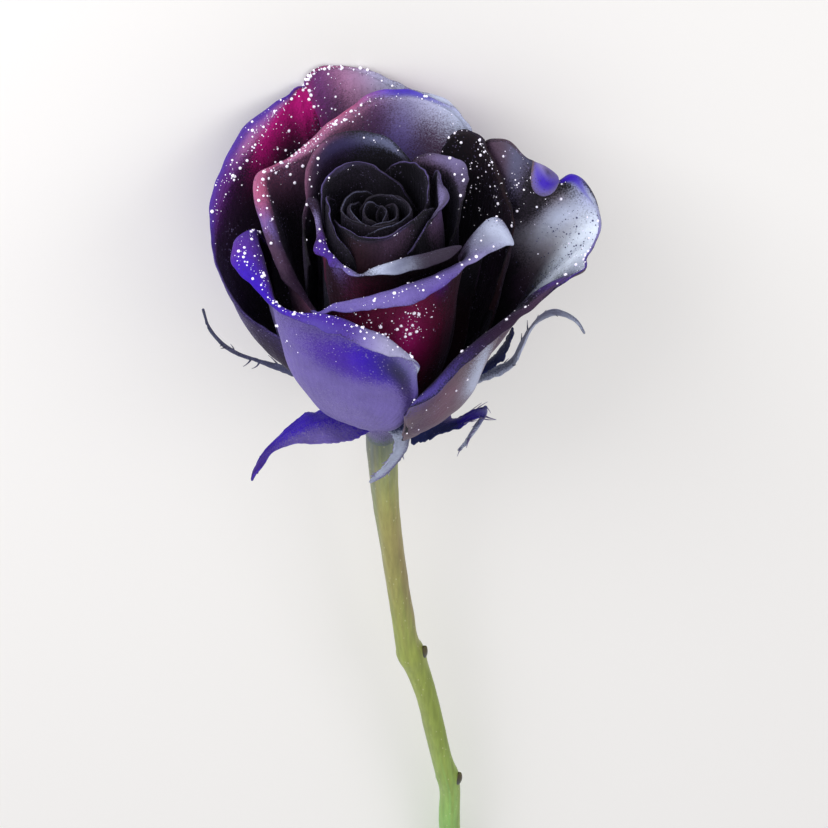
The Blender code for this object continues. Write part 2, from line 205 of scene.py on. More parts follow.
DYES = {
    "rose": "A64C72",
    "orchid": "B06E98",
    "mauve": "8A5676",
    "dusk": "4C3650",
    "magenta": "BC0E7C",
    "crimson": "5E0432",
    "violet": "482894",
    "ultraviolet": "3205B4",
    "purple": "5A2274",
    "iris": "51439A",
    "indigo": "2C2750",
    "lavender": "6C5EA6",
    "lilac": "8A80B6",
    "pale": "A8A4CC",
    "frost": "DCE6F8",
    "mist": "BAC2DE",
    "slate": "5C6080",
    "ash": "66565F",
    "dusty_pink": "7C5A68",
    "plum": "28152E",
    "oxblood": "240C16",
    "ink": "0E0C13",
    "smoke": "2E2636",
    "navy": "1B2458",
    "sage": "727F78",
    "straw": "A09858",
    "khaki_brown": "80704A",
    "olive": "93A04C",
    "moss": "768624",
    "fresh": "86BA64",
    "bark_brown": "402E20",
}


def drift(a, b, seed, finest=4.0, waves=10):
    """Smooth uneven values between about -1 and 1, from crossing waves up to so many to the unit."""
    draw = np.random.default_rng(seed)
    total = np.zeros(np.broadcast(a, b).shape)
    for _ in range(waves):
        frequency = draw.uniform(DRIFT_COARSEST, finest)
        heading = draw.uniform(0, math.tau)
        phase = draw.uniform(0, math.tau)
        total += np.sin(math.tau * frequency * (a * math.cos(heading) + b * math.sin(heading)) + phase)
    return total / math.sqrt(waves / 2) / DRIFT_PEAK


def airbrushed(across, along, base, sprays, seed):
    """The base coat, the sprays' colour and how densely they cover it, at shares across and along."""
    bare = np.tile(srgb(DYES[base]), (len(across), 1))
    colour, uncovered = bare.copy(), np.ones(len(across))
    for k, (*percents, dye, strength) in enumerate(sprays):
        centre, height, reach, rise = (value / 100 for value in percents)
        warped = across + SPRAY_DRIFT * drift(across, along, seed + 7 * k)
        lifted = along + SPRAY_DRIFT * drift(across, along, seed + 7 * k + 3)
        cloud = strength / 100 * np.exp(-(((warped - centre) / reach) ** 2) - ((lifted - height) / rise) ** 2)
        colour += cloud[:, None] * (np.array(srgb(DYES[dye])) - colour)
        uncovered *= 1 - cloud
    cover = np.maximum(1 - uncovered, 1e-4)
    spray = (colour - bare * uncovered[:, None]) / cover[:, None]
    return np.column_stack([bare, np.clip(spray, 0, 1), cover])


print(len(DYES), "dyes")

# %% [markdown]
# ## The shape of a petal
#
# A rose petal springs from a narrow claw, bellies out and ends in an edge that rolls back. Its edge is what
# the eye follows, so each petal is described by points along it: azimuth, radius, height, how far the blade
# leans out there, how far its edge is rolled back (less than zero: rolled inwards) and the radius of that
# roll. A point without the last two has a flat edge. A smooth curve runs through them, and from each place on
# it the blade is led down to the foot along a Bezier curve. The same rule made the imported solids, with fewer
# points.

# %% Smooth curves and normals
def along_curve(points, shares):
    """A smooth curve through points, read at shares of its length. The first three columns are a place."""
    points = np.array(points, float)
    steps = np.linalg.norm(np.diff(points[:, :3], axis=0), axis=1)
    knots = np.concatenate([[0], np.cumsum(steps)]) / steps.sum()
    slopes = np.gradient(points, knots, axis=0)
    cell = np.clip(np.searchsorted(knots, shares, side="right") - 1, 0, len(knots) - 2)
    width = (knots[cell + 1] - knots[cell])[:, None]
    t = (np.asarray(shares) - knots[cell])[:, None] / width
    return (
        points[cell] * (2 * t**3 - 3 * t**2 + 1)
        + points[cell + 1] * (3 * t**2 - 2 * t**3)
        + slopes[cell] * width * (t**3 - 2 * t**2 + t)
        + slopes[cell + 1] * width * (t**3 - t**2)
    )


def unit(vectors):
    return vectors / np.maximum(np.linalg.norm(vectors, axis=-1, keepdims=True), 1e-9)


def normals_of(sheet):
    """Unit normals of a sheet, from the face that looks away from the flower's axis."""
    found = unit(np.cross(np.gradient(sheet, axis=1), np.gradient(sheet, axis=0)))
    body = slice(len(sheet) // 5, len(sheet) // 2)
    return found * np.sign((found[body] * (sheet[body] * (1, 1, 0))).sum())


# %% The blade of a petal, from foot to edge
FOOT_HEIGHT = 7.0
CLAW_SHARE = 0.32
OPENED_AT = 0.7
BLADE_REACH = 0.38
ROW_CROWDING = 0.85


def petal_body(petal, edge, lean, rows):
    """Rows of points from the foot up to where the edge begins to roll."""
    turned = math.radians(petal["facing"])
    azimuth = np.arctan2(edge[:, 0], -edge[:, 1])
    azimuth = turned + (azimuth - turned + math.pi) % math.tau - math.pi
    radius, height = np.hypot(edge[:, 0], edge[:, 1]), edge[:, 2]
    fullness = np.sqrt(np.clip((height - FOOT_HEIGHT) / (height.max() - FOOT_HEIGHT), 0, 1))
    reach = BLADE_REACH * (height - FOOT_HEIGHT)
    t = (np.linspace(0, 1, rows) ** ROW_CROWDING)[:, None]
    start, out, up, end = (1 - t) ** 3, 3 * t * (1 - t) ** 2, 3 * t**2 * (1 - t), t**3
    foot, full = petal["foot"], petal["foot"] + petal["belly"] * fullness
    r = start * foot + out * full + up * (radius - reach * np.sin(lean)) + end * radius
    h = start * FOOT_HEIGHT + out * (FOOT_HEIGHT + petal["lift"])
    h = h + up * (height - reach * np.cos(lean)) + end * height
    opened = np.clip(t / OPENED_AT, 0, 1)
    share = CLAW_SHARE + (1 - CLAW_SHARE) * opened * opened * (3 - 2 * opened)
    return round_the_axis(turned + (azimuth - turned) * share, r, h)


# %% The rolled edge
EDGE_LEAST = 0.4
ROLL_LEAST = 0.01
CURL_LEAST = 0.3
NICK_DEPTH = 0.2
NICKED_LENGTH = 11


def rolled_edge(body, edge, roll, rows, seed):
    """Rows that roll the blade's edge back, or inwards where the roll is below zero, with small nicks."""
    inward = np.where(roll < 0, -1.0, 1.0)[:, None]
    roll = np.maximum(np.abs(roll), ROLL_LEAST)
    last = unit(body[-1] - body[-2])
    side = unit(np.gradient(body[-1], axis=0))
    outward = np.cross(side, last)
    outward = unit(outward * np.sign((outward * edge[:, :3] * (1, 1, 0)).sum(axis=1))[:, None])
    onward = unit(last - (last * side).sum(axis=1)[:, None] * side)
    bend = np.maximum(np.maximum(edge[:, 5], CURL_LEAST), EDGE_LEAST / roll)[:, None]
    nicks = NICK_DEPTH * drift(np.linspace(0, NICKED_LENGTH, len(edge)), 0, seed, finest=2.5, waves=14)
    roll = roll * (1 + nicks / (bend[:, 0] * roll))
    curled = []
    for k in np.linspace(0, 1, rows + 1)[1:]:
        ahead, over = np.sin(roll * k)[:, None], (1 - np.cos(roll * k))[:, None]
        curled.append(body[-1] + bend * (ahead * onward + over * inward * outward))
    return curled


# %% Petal surface
EDGE_STARTS = 0.78
FLAT_EDGE = (0, 1)


def petal_sheet(petal, columns, rows):
    """The petal's middle surface, upright: rows of points from its foot to its rolled edge."""
    rim = np.array([(*point, *FLAT_EDGE)[:6] for point in petal["rim"]], float)
    edge = np.column_stack([round_the_axis(np.radians(rim[:, 0]), rim[:, 1], rim[:, 2]), rim[:, 3:]])
    edge = along_curve(edge, np.linspace(0, 1, columns))
    lean, roll = np.radians(edge[:, 3:5]).T
    body = petal_body(petal, edge, lean, round(rows * EDGE_STARTS))
    nick_seed = round(40 * math.radians(petal["facing"])) % 360
    return np.concatenate([body, rolled_edge(body, edge, roll, rows - len(body), nick_seed)])


# %% Folds of a dried petal
WAVY_FROM = 0.35
FREE_AT = 0.3
# Usual depth in millimetres, waves across and along, how much finer the finest is, and how many cross
FOLDS = {"wave": (0.45, 2.2, 0.4, 3, 10), "ribs": (0.06, 9, 0.8, 3, 14), "dents": (0.22, 2, 2.2, 2, 10)}


def ruffled(sheet, petal, seed):
    """The sheet with the unevenness of a dried petal: a wavy edge, long ribs and shallow dents."""
    rows, columns = sheet.shape[:2]
    across, along = np.meshgrid(np.linspace(0, 1, columns), np.linspace(0, 1, rows))
    near_edge = np.clip((along - WAVY_FROM) / (1 - WAVY_FROM), 0, 1) ** 2
    free = np.clip(along / FREE_AT, 0, 1)
    lift = 0
    for k, (name, (depth, crossways, lengthways, finest, waves)) in enumerate(FOLDS.items()):
        reach = petal.get(name, depth) * (near_edge if name == "wave" else free)
        lift = lift + reach * drift(across * crossways, along * lengthways, seed + k, finest, waves)
    return sheet + lift[..., None] * normals_of(sheet)


# %% [markdown]
# ## Cutting a petal from a blank
#
# Each petal starts as a flat grid from the Add menu. Every point of the blank knows its share across and
# along, so it is moved to that share of the petal's surface. Solidify gives the blade its thickness, both
# faces are airbrushed into a colour attribute, and one subdivision rounds the edge.

# %% Blank grid and its points
made = []


def select_only(*pieces):
    """Selects these pieces and nothing else. The first one is the active one."""
    bpy.ops.object.select_all(action="DESELECT")
    for piece in pieces:
        piece.select_set(True)
    if pieces:
        bpy.context.view_layer.objects.active = pieces[0]


def points_of(obj):
    """The places of a piece's vertices, in metres in the model's frame."""
    flat = np.empty(len(obj.data.vertices) * 3, np.float32)
    obj.data.vertices.foreach_get("co", flat)
    return flat.reshape(-1, 3)


def blank_grid(name, columns, rows):
    """A flat grid mesh from the Add menu, with each point's column and row."""
    select_only()
    bpy.ops.mesh.primitive_grid_add(x_subdivisions=columns - 1, y_subdivisions=rows - 1, size=1)
    obj = bpy.context.object
    obj.name = name
    flat = points_of(obj)
    column = np.rint((flat[:, 0] + 0.5) * (columns - 1)).astype(int)
    row = np.rint((flat[:, 1] + 0.5) * (rows - 1)).astype(int)
    return obj, column, row


def place_points(obj, points):
    """Moves every vertex to its place, in metres in the model's frame."""
    obj.data.vertices.foreach_set("co", np.asarray(points, np.float32).ravel())
    obj.data.update()


# %% Modifiers, paint and the model's frame
def apply(obj, name, kind, **settings):
    """Adds a modifier and applies it."""
    modifier = obj.modifiers.new(name, kind)
    for key, value in settings.items():
        setattr(modifier, key, value)
    bpy.context.view_layer.objects.active = obj
    bpy.ops.object.modifier_apply(modifier=name)


def rounded(obj, levels=1):
    apply(obj, "rounding", "SUBSURF", levels=levels, render_levels=levels)


def paint(obj, coats):
    """Stores the base coat, and the spray with its cover as alpha, as attributes for the materials."""
    alike = np.ones((len(coats), 1))
    for name, values in (("base_coat", np.hstack([coats[:, :3], alike])), ("spray_coat", coats[:, 3:])):
        layer = obj.data.color_attributes.new(name, "FLOAT_COLOR", "POINT")
        layer.data.foreach_set("color", values.astype(np.float32).ravel())


def finish_piece(obj, material, node=None):
    """Shades a piece, gives it its material and lets it ride on the model."""
    select_only(obj)
    bpy.ops.object.shade_smooth()
    obj.data.materials.append(material)
    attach(obj, "root")
    if node:
        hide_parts(node)
    made.append(obj)


# %% Blade
ABOVE_FLOOR = 0.6
BELLY = (0.2, 0.6)


def blade_from(name, sheet, thickness, faces, seed):
    """A thin blade round a sheet of upright points. Each of its two faces has a base and its sprays."""
    rows, columns = sheet.shape[:2]
    obj, column, row = blank_grid(name, columns, rows)
    points = laid_down(sheet[row, column])
    points[:, 2] = np.maximum(points[:, 2], ABOVE_FLOOR * thickness * MM)
    place_points(obj, points)
    apply(obj, "blade", "SOLIDIFY", thickness=thickness * MM, offset=0)
    halves = points_of(obj).reshape(2, len(points), 3)
    middle = (row > BELLY[0] * rows) & (row < BELLY[1] * rows)
    outward = (sheet * (1, 1, 0))[row, column]
    gap = (halves[0] - halves[1]) @ LAY_TURN
    first_is_outside = (gap[middle] * outward[middle]).sum() > 0
    across, along = column / (columns - 1), row / (rows - 1)
    inside, outside = (airbrushed(across, along, *face, seed + 50 * k) for k, face in enumerate(faces))
    paint(obj, np.concatenate([outside, inside] if first_is_outside else [inside, outside]))
    rounded(obj)
    return obj


# %% [markdown]
# ## What a dyed petal is made of
#
# A preserved petal is soft and matt like suede: tiny cells scatter the light, so its face has a faint sheen
# and no gloss. The spray lands on it as droplets, so where a cloud of colour thins out it breaks up into
# grain, and its last drops dry as separate specks, pale on dark petals and dark on pale ones. The petal soaks
# the dye up unevenly, which mottles it softly, and its fine veins and creases are raised a little by a bump.

# %% Adding nodes
def add(material, kind, inputs=None, **settings):
    """Adds a shader node with its settings and its inputs."""
    node = material.node_tree.nodes.new("ShaderNode" + kind)
    for key, value in settings.items():
        setattr(node, key, value)
    feed(node, inputs or {})
    return node


# %% Petal material
# Sizes in millimetres. Real spray droplets are about 0.1, and are drawn coarser so that they show.
PETAL_ACROSS = 66.0
PETAL_ALONG = 48.0
VEIN_SPACING = 1.3
MOTTLE_SIZE = 4.0
DROPLET = 0.26
SPECK = 0.62
SPECK_PATCH = 5.0
# A wave texture of scale 1 repeats about every 0.314 units
BAND_SCALE = 0.314


def petal_material(name, roughness, sheen, crepe, grain, specks, mottle):
    """Dyed petal: its creases' depth in millimetres, and the strength of grain, specks and mottling."""
    material, shader = new_material(name)
    base = add(material, "Attribute", attribute_name="base_coat")
    spray = add(material, "Attribute", attribute_name="spray_coat")
    where = add(material, "TexCoord")
    blade = add(material, "Mapping", {0: where.outputs["UV"], "Scale": (PETAL_ACROSS, PETAL_ALONG, 1)})
    place = add(material, "Mapping", {0: where.outputs["Object"], "Scale": PER_MM})

    # Droplets: fine noise decides, point by point, whether the spray or the coat under it shows
    droplets = add(material, "TexNoise", {0: place, "Scale": 1 / DROPLET, "Detail": 2, "Roughness": 0.5})
    centred = add(material, "Math", {0: droplets, 1: 0.5}, operation="SUBTRACT")
    thinning = {0: centred, 1: grain, 2: spray.outputs["Alpha"]}
    broken = add(material, "Math", thinning, operation="MULTIPLY_ADD")
    steps = {0: broken, "From Min": 0.12, "From Max": 0.88}
    cover = add(material, "MapRange", steps, interpolation_type="SMOOTHSTEP")
    dyed = add(material, "Mix", {"Factor": cover, 6: base, 7: spray}, data_type="RGBA")

    # Uneven soaking: soft clouds a few millimetres wide, with the droplets' noise finer over them
    soak = add(material, "TexNoise", {0: place, "Scale": 1 / MOTTLE_SIZE, "Detail": 6, "Roughness": 0.66})
    levels = {0: soak, "From Min": 0.28, "From Max": 0.72, "To Min": 1 - mottle, "To Max": 1 + mottle}
    soft = add(material, "MapRange", levels)
    mottled = add(material, "VectorMath", {0: dyed, 3: soft}, operation="SCALE")

    # Dried specks of overspray: the tone that the petal lacks there, gathered in loose patches
    cells = add(material, "TexVoronoi", {0: place, "Scale": 1 / SPECK, "Randomness": 1})
    patches = add(material, "TexNoise", {0: place, "Scale": 1 / SPECK_PATCH, "Detail": 3})
    sizes = {0: patches, "From Min": 0.42, "From Max": 0.7, "To Min": 0.04, "To Max": 0.26}
    size = add(material, "MapRange", sizes)
    speck = add(material, "Math", {0: cells, 1: size}, operation="LESS_THAN")
    strength = add(material, "Math", {0: speck, 1: specks}, operation="MULTIPLY")
    tone = add(material, "SeparateColor", {0: dyed}, mode="HSV")
    pale = add(material, "Math", {0: tone.outputs[2], 1: 0.4}, operation="GREATER_THAN")
    tones = {"Factor": pale, 6: opaque("9186B4"), 7: opaque("3A3158")}
    speck_colour = add(material, "Mix", tones, data_type="RGBA")
    specked = add(material, "Mix", {"Factor": strength, 6: mottled, 7: speck_colour}, data_type="RGBA")

    # Veins run from the foot to the edge, and creases cross them: both are only relief
    pitch = BAND_SCALE / VEIN_SPACING
    bands = {0: blade, "Scale": pitch, "Distortion": 1.5, "Detail": 3, "Detail Scale": 0.25}
    veins = add(material, "TexWave", bands, wave_type="BANDS", bands_direction="X")
    crumple = {0: blade, "Scale": 0.8, "Detail": 7, "Roughness": 0.62, "Distortion": 0.5}
    creases = add(material, "TexNoise", crumple, noise_dimensions="2D")
    relief = add(material, "Math", {0: veins.outputs["Fac"], 1: 0.12, 2: creases}, operation="MULTIPLY_ADD")
    bump = add(material, "Bump", {"Height": relief, "Distance": crepe * MM, "Strength": 1})
    feed(shader, {"Base Color": specked, "Normal": bump, "Roughness": roughness, "IOR": 1.42})
    feed(shader, {"Specular IOR Level": 0.25, "Sheen Weight": sheen, "Sheen Roughness": 0.4})
    feed(shader, {"Sheen Tint": opaque("B9B2E0")})
    return material


# The outer petals are crisp and even. Those of the heart are more mottled and drink the light like velvet.
outer_petal = petal_material("airbrushed_guard_petal", 0.6, 0.12, 0.22, 1.1, 0.5, 0.14)
inner_petal = petal_material("airbrushed_inner_petal", 0.6, 0.1, 0.2, 1.1, 0.4, 0.16)
heart_petal = petal_material("dark_velvet_petal", 0.68, 0.1, 0.2, 1.2, 0.3, 0.25)

# %% [markdown]
# ## The outer petals
#
# Four guard petals hold the flower: the left one with its edge rolled into a violet ridge, the pink one at
# the back, the wide one that opens to the right, and the lavender one in front. Each petal has a cell of its
# own with the points of its rim and the sprays on its two faces.

# %% Growing a petal
BLADE = 0.36
GUARD = (outer_petal, 84, 56)
sheets = {}


def grow_petal(name, kind, seed, columns=None, **petal):
    """Makes one petal of a kind, which is a material and its grid. The glitter needs its sheet later."""
    material, kind_columns, rows = kind
    sheet = ruffled(petal_sheet(petal, columns or kind_columns, rows), petal, seed)
    obj = blade_from(name, sheet, BLADE, (petal["inside"], petal["outside"]), seed)
    finish_piece(obj, material, "bloom")
    sheets[name] = sheet
    print(name, len(obj.data.polygons), "faces")


# %% Petal at the left
grow_petal(
    "petal_left", GUARD, 100, facing=-118, foot=5, belly=16, lift=2.5,
    rim=[
        (-74, 14.5, 22, 10), (-80, 19.5, 25.5, 20), (-86, 24.6, 31, 20), (-93, 27.1, 36.5, 15, 10, 1.5),
        (-101, 27.6, 40.4, 15, 40, 1.6), (-106, 27.4, 43, 15, 75, 1.8), (-112, 26.8, 45, 15, 105, 2),
        (-118, 26.4, 46.3, 12, 120, 2.2), (-125, 25.8, 48, 10, 130, 2.2), (-131, 25.4, 49.6, 8, 135, 2.2),
        (-137, 25.6, 51, 8, 130, 2), (-144, 26.6, 52.6, 10, 110, 1.4), (-148.5, 27.4, 54, 15, 60, 1),
        (-151, 27.8, 55.4, 20, 20, 0.8), (-153, 27.9, 54.8, 20, 10, 0.5), (-155, 27.8, 56, 20, 20, 0.5),
        (-157.5, 27.7, 55.2, 20, 10, 0.5), (-161, 27.4, 53.2, 15, 0, 0.6), (-165, 26, 45, 5, 0, 0.6),
    ],
    inside=("plum", [
        (34, 25, 60, 40, "ink", 85), (60, 66, 20, 6, "ink", 50), (73, 77, 13, 8, "magenta", 100),
        (82, 82, 5, 14, "magenta", 95), (62, 79, 3, 5, "magenta", 50), (46, 84, 10, 9, "purple", 70),
        (51, 89, 8, 8, "purple", 95), (68, 87, 9, 4, "orchid", 70), (59, 91, 5, 5, "orchid", 50),
        (56, 99, 26, 8, "violet", 95), (70, 94, 8, 5, "violet", 70), (36, 97, 14, 10, "violet", 90),
        (20, 95, 14, 12, "smoke", 90), (86, 97, 5, 10, "rose", 90),
    ]),
    outside=("lavender", [
        (50, 75, 50, 15, "violet", 70), (10, 50, 20, 60, "smoke", 95), (86, 90, 6, 12, "rose", 80),
    ]),
)

# %% Petal at the back
grow_petal(
    "petal_back", GUARD, 111, facing=180, foot=5.4, belly=18, lift=2.5,
    rim=[
        (-138, 26, 38, 5), (-148, 28.2, 47, 12), (-153, 28.2, 53, 15, 5, 1), (-156, 28.1, 57, 18, 10, 0.8),
        (-159, 27.9, 57.8, 20, 20, 1), (-164, 27.6, 57.7, 20, 25, 1.2), (-171, 26.8, 57, 18, 30, 1.4),
        (-179, 25.9, 55.7, 14, 35, 1.6), (-187, 25, 54.2, 10, 40, 1.8), (-196, 24.7, 53, 10, 45, 1.8),
        (-204, 24.7, 52.5, 10, 50, 1.6), (-210, 24.6, 51.8, 10, 50, 1.4), (-215, 24.4, 49.6, 8, 30, 1.2),
        (-220, 24, 45, 5, 10, 1), (-226, 23, 37, 5),
    ],
    inside=("dusk", [
        (50, 20, 90, 34, "plum", 85), (30, 78, 5, 22, "magenta", 80), (36, 88, 5, 8, "rose", 80),
        (38, 76, 6, 16, "purple", 60), (46, 84, 7, 18, "orchid", 95), (53, 86, 7, 16, "pale", 75),
        (66, 90, 12, 22, "mist", 95),
    ]),
    outside=("lilac", [(50, 80, 40, 20, "rose", 50), (50, 30, 50, 20, "lavender", 60)]),
)

# %% Petal at the right
grow_petal(
    "petal_right", GUARD, 122, facing=80, foot=5.2, belly=17, lift=2.5, wave=0.3, columns=130,
    rim=[
        (141, 22, 41, 10), (137, 23.4, 46.5, 12), (134.5, 24.2, 49, 15, 10, 1), (130.5, 25, 50.2, 20, 15, 1),
        (127, 26, 50.8, 25, 15, 1), (123.5, 26.6, 50.2, 30, 5, 1), (120, 27, 49.2, 35, -5, 1),
        (117.2, 27.4, 48.4, 38, -50, 1), (114.8, 27.9, 48, 42, -150, 1.4), (113, 28.5, 47.5, 46, -230, 1.8),
        (111.6, 29.3, 46.8, 50, -250, 1.9), (110.6, 30.2, 46.2, 50, -200, 1.7),
        (109.9, 31, 45.8, 50, -90, 1.3), (109.5, 31.7, 45.9, 50, 20, 1), (109, 32.6, 45.6, 52, 110, 1.4),
        (108.2, 33.8, 44.8, 55, 130, 1.6), (106.6, 35.5, 43.5, 55, 80, 1.2), (104, 36.8, 42.2, 55, 30, 0.8),
        (101.5, 36.7, 41.4, 58, 20, 0.8), (98.4, 36.3, 40, 60, 25, 0.8), (95, 35.2, 39.4, 66, 25, 0.8),
        (93, 34.2, 38.6, 70, 30, 0.8), (90.5, 33.6, 38, 74, 20, 0.8), (87, 33.6, 38, 76, 5, 0.8),
        (84.4, 31.2, 37.4, 74, 30, 1), (81, 28.2, 36.4, 66, 40, 1.4), (75, 25, 34.6, 48, 60, 1.8),
        (65, 22, 33, 18, 90, 2.4), (47, 19.8, 30.6, -6, 110, 3), (30.5, 19.4, 27.2, -8, 110, 3),
        (19, 20, 24.8, -6, 100, 2.4), (14.5, 19.8, 22.8, 0, 50, 1.2), (14, 18.8, 18.5, 0), (13.5, 17, 14, 0),
    ],
    inside=("ink", [
        (14, 80, 7, 20, "dusk", 85), (17, 84, 3, 12, "ash", 60), (20.5, 84, 3, 14, "slate", 90),
        (28, 58, 6, 14, "plum", 80), (27, 66, 3.5, 9, "ash", 90), (36, 46, 5, 10, "plum", 80),
        (32, 67, 3, 9, "mist", 100), (36, 60, 3.5, 10, "ash", 90), (37, 70, 4.5, 12, "frost", 100),
        (40, 62, 4, 13, "mist", 90), (41, 74, 5, 14, "frost", 100), (45, 68, 4.5, 14, "frost", 90),
        (35, 88, 3.5, 10, "mist", 95), (42, 94, 6, 6, "lavender", 95), (31, 90, 2.8, 10, "ultraviolet", 100),
        (31.5, 98.5, 2, 3, "iris", 90), (48, 93, 5, 9, "iris", 80), (52, 66, 3, 16, "slate", 60),
        (53, 86, 4, 16, "violet", 90), (60, 92, 5, 12, "dusk", 90), (70, 94, 8, 9, "plum", 90),
        # The last spray, a thin stroke of ink just under the inward-rolled lobe, is a painted shadow cast by
        # the lobe
        (85, 93, 9, 8, "iris", 80), (26.5, 75, 1.4, 7, "ink", 90),
    ]),
    outside=("ash", [
        (70, 52, 6, 20, "mist", 90), (79, 56, 6, 20, "dusty_pink", 80), (86, 50, 8, 30, "dusk", 60),
        (55, 70, 7, 40, "plum", 90), (66, 84, 8, 12, "plum", 90), (87, 84, 8, 10, "lavender", 80),
        (85, 96, 12, 5, "iris", 80), (40, 60, 8, 30, "lilac", 60), (50, 10, 60, 15, "lavender", 60),
        (25.5, 84, 4, 20, "lavender", 95), (25.8, 95, 1.8, 5, "lilac", 100),
        # In the middle of the lobe's scroll is ultraviolet dye, and over it a dot of ink that is painted shade
        # in the scroll's hollow
        (24.3, 90.5, 1.5, 3.5, "ultraviolet", 100), (24.3, 90, 0.5, 1.4, "ink", 70),
    ]),
)

# %% Petal in front
grow_petal(
    "petal_front", GUARD, 133, facing=-32, foot=5.2, belly=12, lift=3,
    rim=[
        (-104, 18.5, 36, -5), (-99, 20.5, 41.5, 0, 30, 1.2), (-91, 20.1, 42.3, 10, 90, 2.2),
        (-83, 19.8, 42.5, 15, 120, 2.6), (-73, 19.6, 41.8, 12, 130, 2.6), (-63, 19.8, 41, 8, 120, 2),
        (-54, 20.6, 40.2, 4, 100, 1.3), (-44, 20.2, 40.2, 0, 110, 1.6), (-36, 19.6, 40.4, -4, 125, 2),
        (-26, 18.8, 40.5, -6, 140, 2.3), (-17, 18.3, 40.1, -8, 150, 2.4), (-8, 18.5, 39.4, -8, 155, 2.4),
        (0, 19, 38.6, -8, 155, 2.3), (7.5, 20, 37.4, -6, 145, 1.9), (12.5, 21, 36.4, -4, 110, 1.4),
        (15.6, 21.5, 34.8, 0, 50, 0.8), (16.4, 20, 30, 0, 10, 1), (17.5, 17.6, 24, 0),
    ],
    inside=("plum", [
        (40, 92, 34, 16, "violet", 90), (34, 97, 20, 6, "ultraviolet", 90), (21, 97, 5, 8, "purple", 70),
        (14, 90, 5, 14, "violet", 80), (52, 99, 6, 4, "iris", 70), (66, 96, 5, 12, "lavender", 90),
        (74, 94, 6, 16, "pale", 95), (84, 90, 7, 20, "mist", 100),
    ]),
    # On the outer face, the smoke, violet, ultraviolet, indigo and ink sprays under the rolled edge are violet
    # dye and painted shade where the roll overhangs the face. The violet low at the right is painted shade as
    # well.
    outside=("lavender", [
        (42, 72, 12, 6, "smoke", 35), (56, 64, 13, 10, "violet", 90), (66, 65, 11, 9, "ultraviolet", 95),
        (72, 64, 5, 6, "indigo", 80), (77.5, 56, 3.5, 14, "ink", 85), (14, 60, 12, 30, "lilac", 70),
        (45, 30, 30, 16, "lilac", 40), (84, 46, 6, 16, "violet", 50), (85, 86, 8, 14, "mist", 90),
    ]),
)


# %% [markdown]
# ## The middle petals
#
# Inside the guard petals stand a mauve one with a vivid violet lip, a nearly black one at the right, and a
# crimson one in front whose lip is rolled right over.

# %% Grid of the middle petals
MIDDLE = (inner_petal, 72, 46)

# %% Mauve petal
grow_petal(
    "petal_mauve", MIDDLE, 300, facing=-150, foot=4.8, belly=13, lift=1.5,
    rim=[
        (-50, 13.5, 34, 0, 40, 1.6), (-64, 14.2, 36.5, 5, 80, 1.8), (-80, 15.2, 40, 10, 100, 1.8),
        (-98, 17.2, 44.5, 12, 110, 1.8), (-108, 19.2, 47, 18, 100, 1.8), (-115, 20.6, 47.8, 22, 80, 1.6),
        (-121, 20.6, 47.9, 22, 60, 1.4), (-128, 19.6, 48.2, 15, 70, 1.4), (-136, 18.8, 48.8, 10, 85, 1.4),
        (-146, 18.4, 49.8, 8, 95, 1.4), (-158, 19, 51.6, 6, 100, 1.4), (-170, 20.2, 53.2, 6, 95, 1.4),
        (-182, 21.8, 54.2, 8, 85, 1.4), (-193, 22.8, 54.2, 10, 75, 1.3), (-203, 23.3, 53.6, 12, 60, 1.2),
        (-211, 23.5, 52.8, 12, 50, 1.2), (-217, 23.7, 50.8, 8, 30, 1), (-222, 23.7, 46, 5, 10, 1),
    ],
    inside=("dusk", [
        (50, 25, 90, 30, "ink", 90), (38, 62, 14, 13, "ink", 80), (10, 90, 10, 20, "plum", 90),
        (19, 90, 5, 10, "dusk", 70), (25, 96, 4, 9, "lavender", 80), (35, 90, 6, 12, "rose", 85),
        (36, 95, 4, 6, "orchid", 80), (46, 90, 9, 10, "orchid", 90), (45, 97, 14, 4, "rose", 70),
        (60, 93, 9, 8, "orchid", 95), (62, 98, 6, 4, "rose", 80), (60, 76, 10, 8, "mauve", 60),
        (68, 74, 6, 12, "purple", 30), (79, 84, 8, 13, "pale", 80), (78, 97, 8, 7, "ultraviolet", 90),
        (76, 66, 5, 10, "lavender", 60), (90, 86, 8, 22, "mist", 90),
    ]),
    outside=("mauve", [(50, 50, 80, 30, "dusk", 70)]),
)

# %% Dark petal
grow_petal(
    "petal_dark", MIDDLE, 311, facing=112, foot=4.8, belly=13, lift=1.5,
    rim=[
        (152, 18.5, 42, 0), (149, 20.6, 47, 0, 5, 1), (146.5, 20.9, 49.6, 8, 20, 1),
        (144, 21.4, 50.8, 12, 40, 1.2), (140, 22.2, 51.2, 15, 50, 1.2), (136, 22.8, 50.8, 15, 45, 1.2),
        (132, 22.9, 49.8, 15, 35, 1.2), (127, 22.7, 48.4, 12, 30, 1.2), (121, 22.5, 47, 12, 30, 1.2),
        (113, 22.4, 45.4, 10, 30, 1.2), (107, 22.6, 43, 8, 25, 1), (102, 22.2, 39, 5, 10, 1),
        (96, 20.6, 34, 0), (88, 18.6, 28, 0),
    ],
    inside=("ink", [
        (50, 85, 40, 20, "oxblood", 50), (30, 93, 14, 8, "smoke", 70), (62, 50, 20, 20, "plum", 50),
    ]),
    outside=("oxblood", [(50, 50, 80, 50, "ink", 50)]),
)

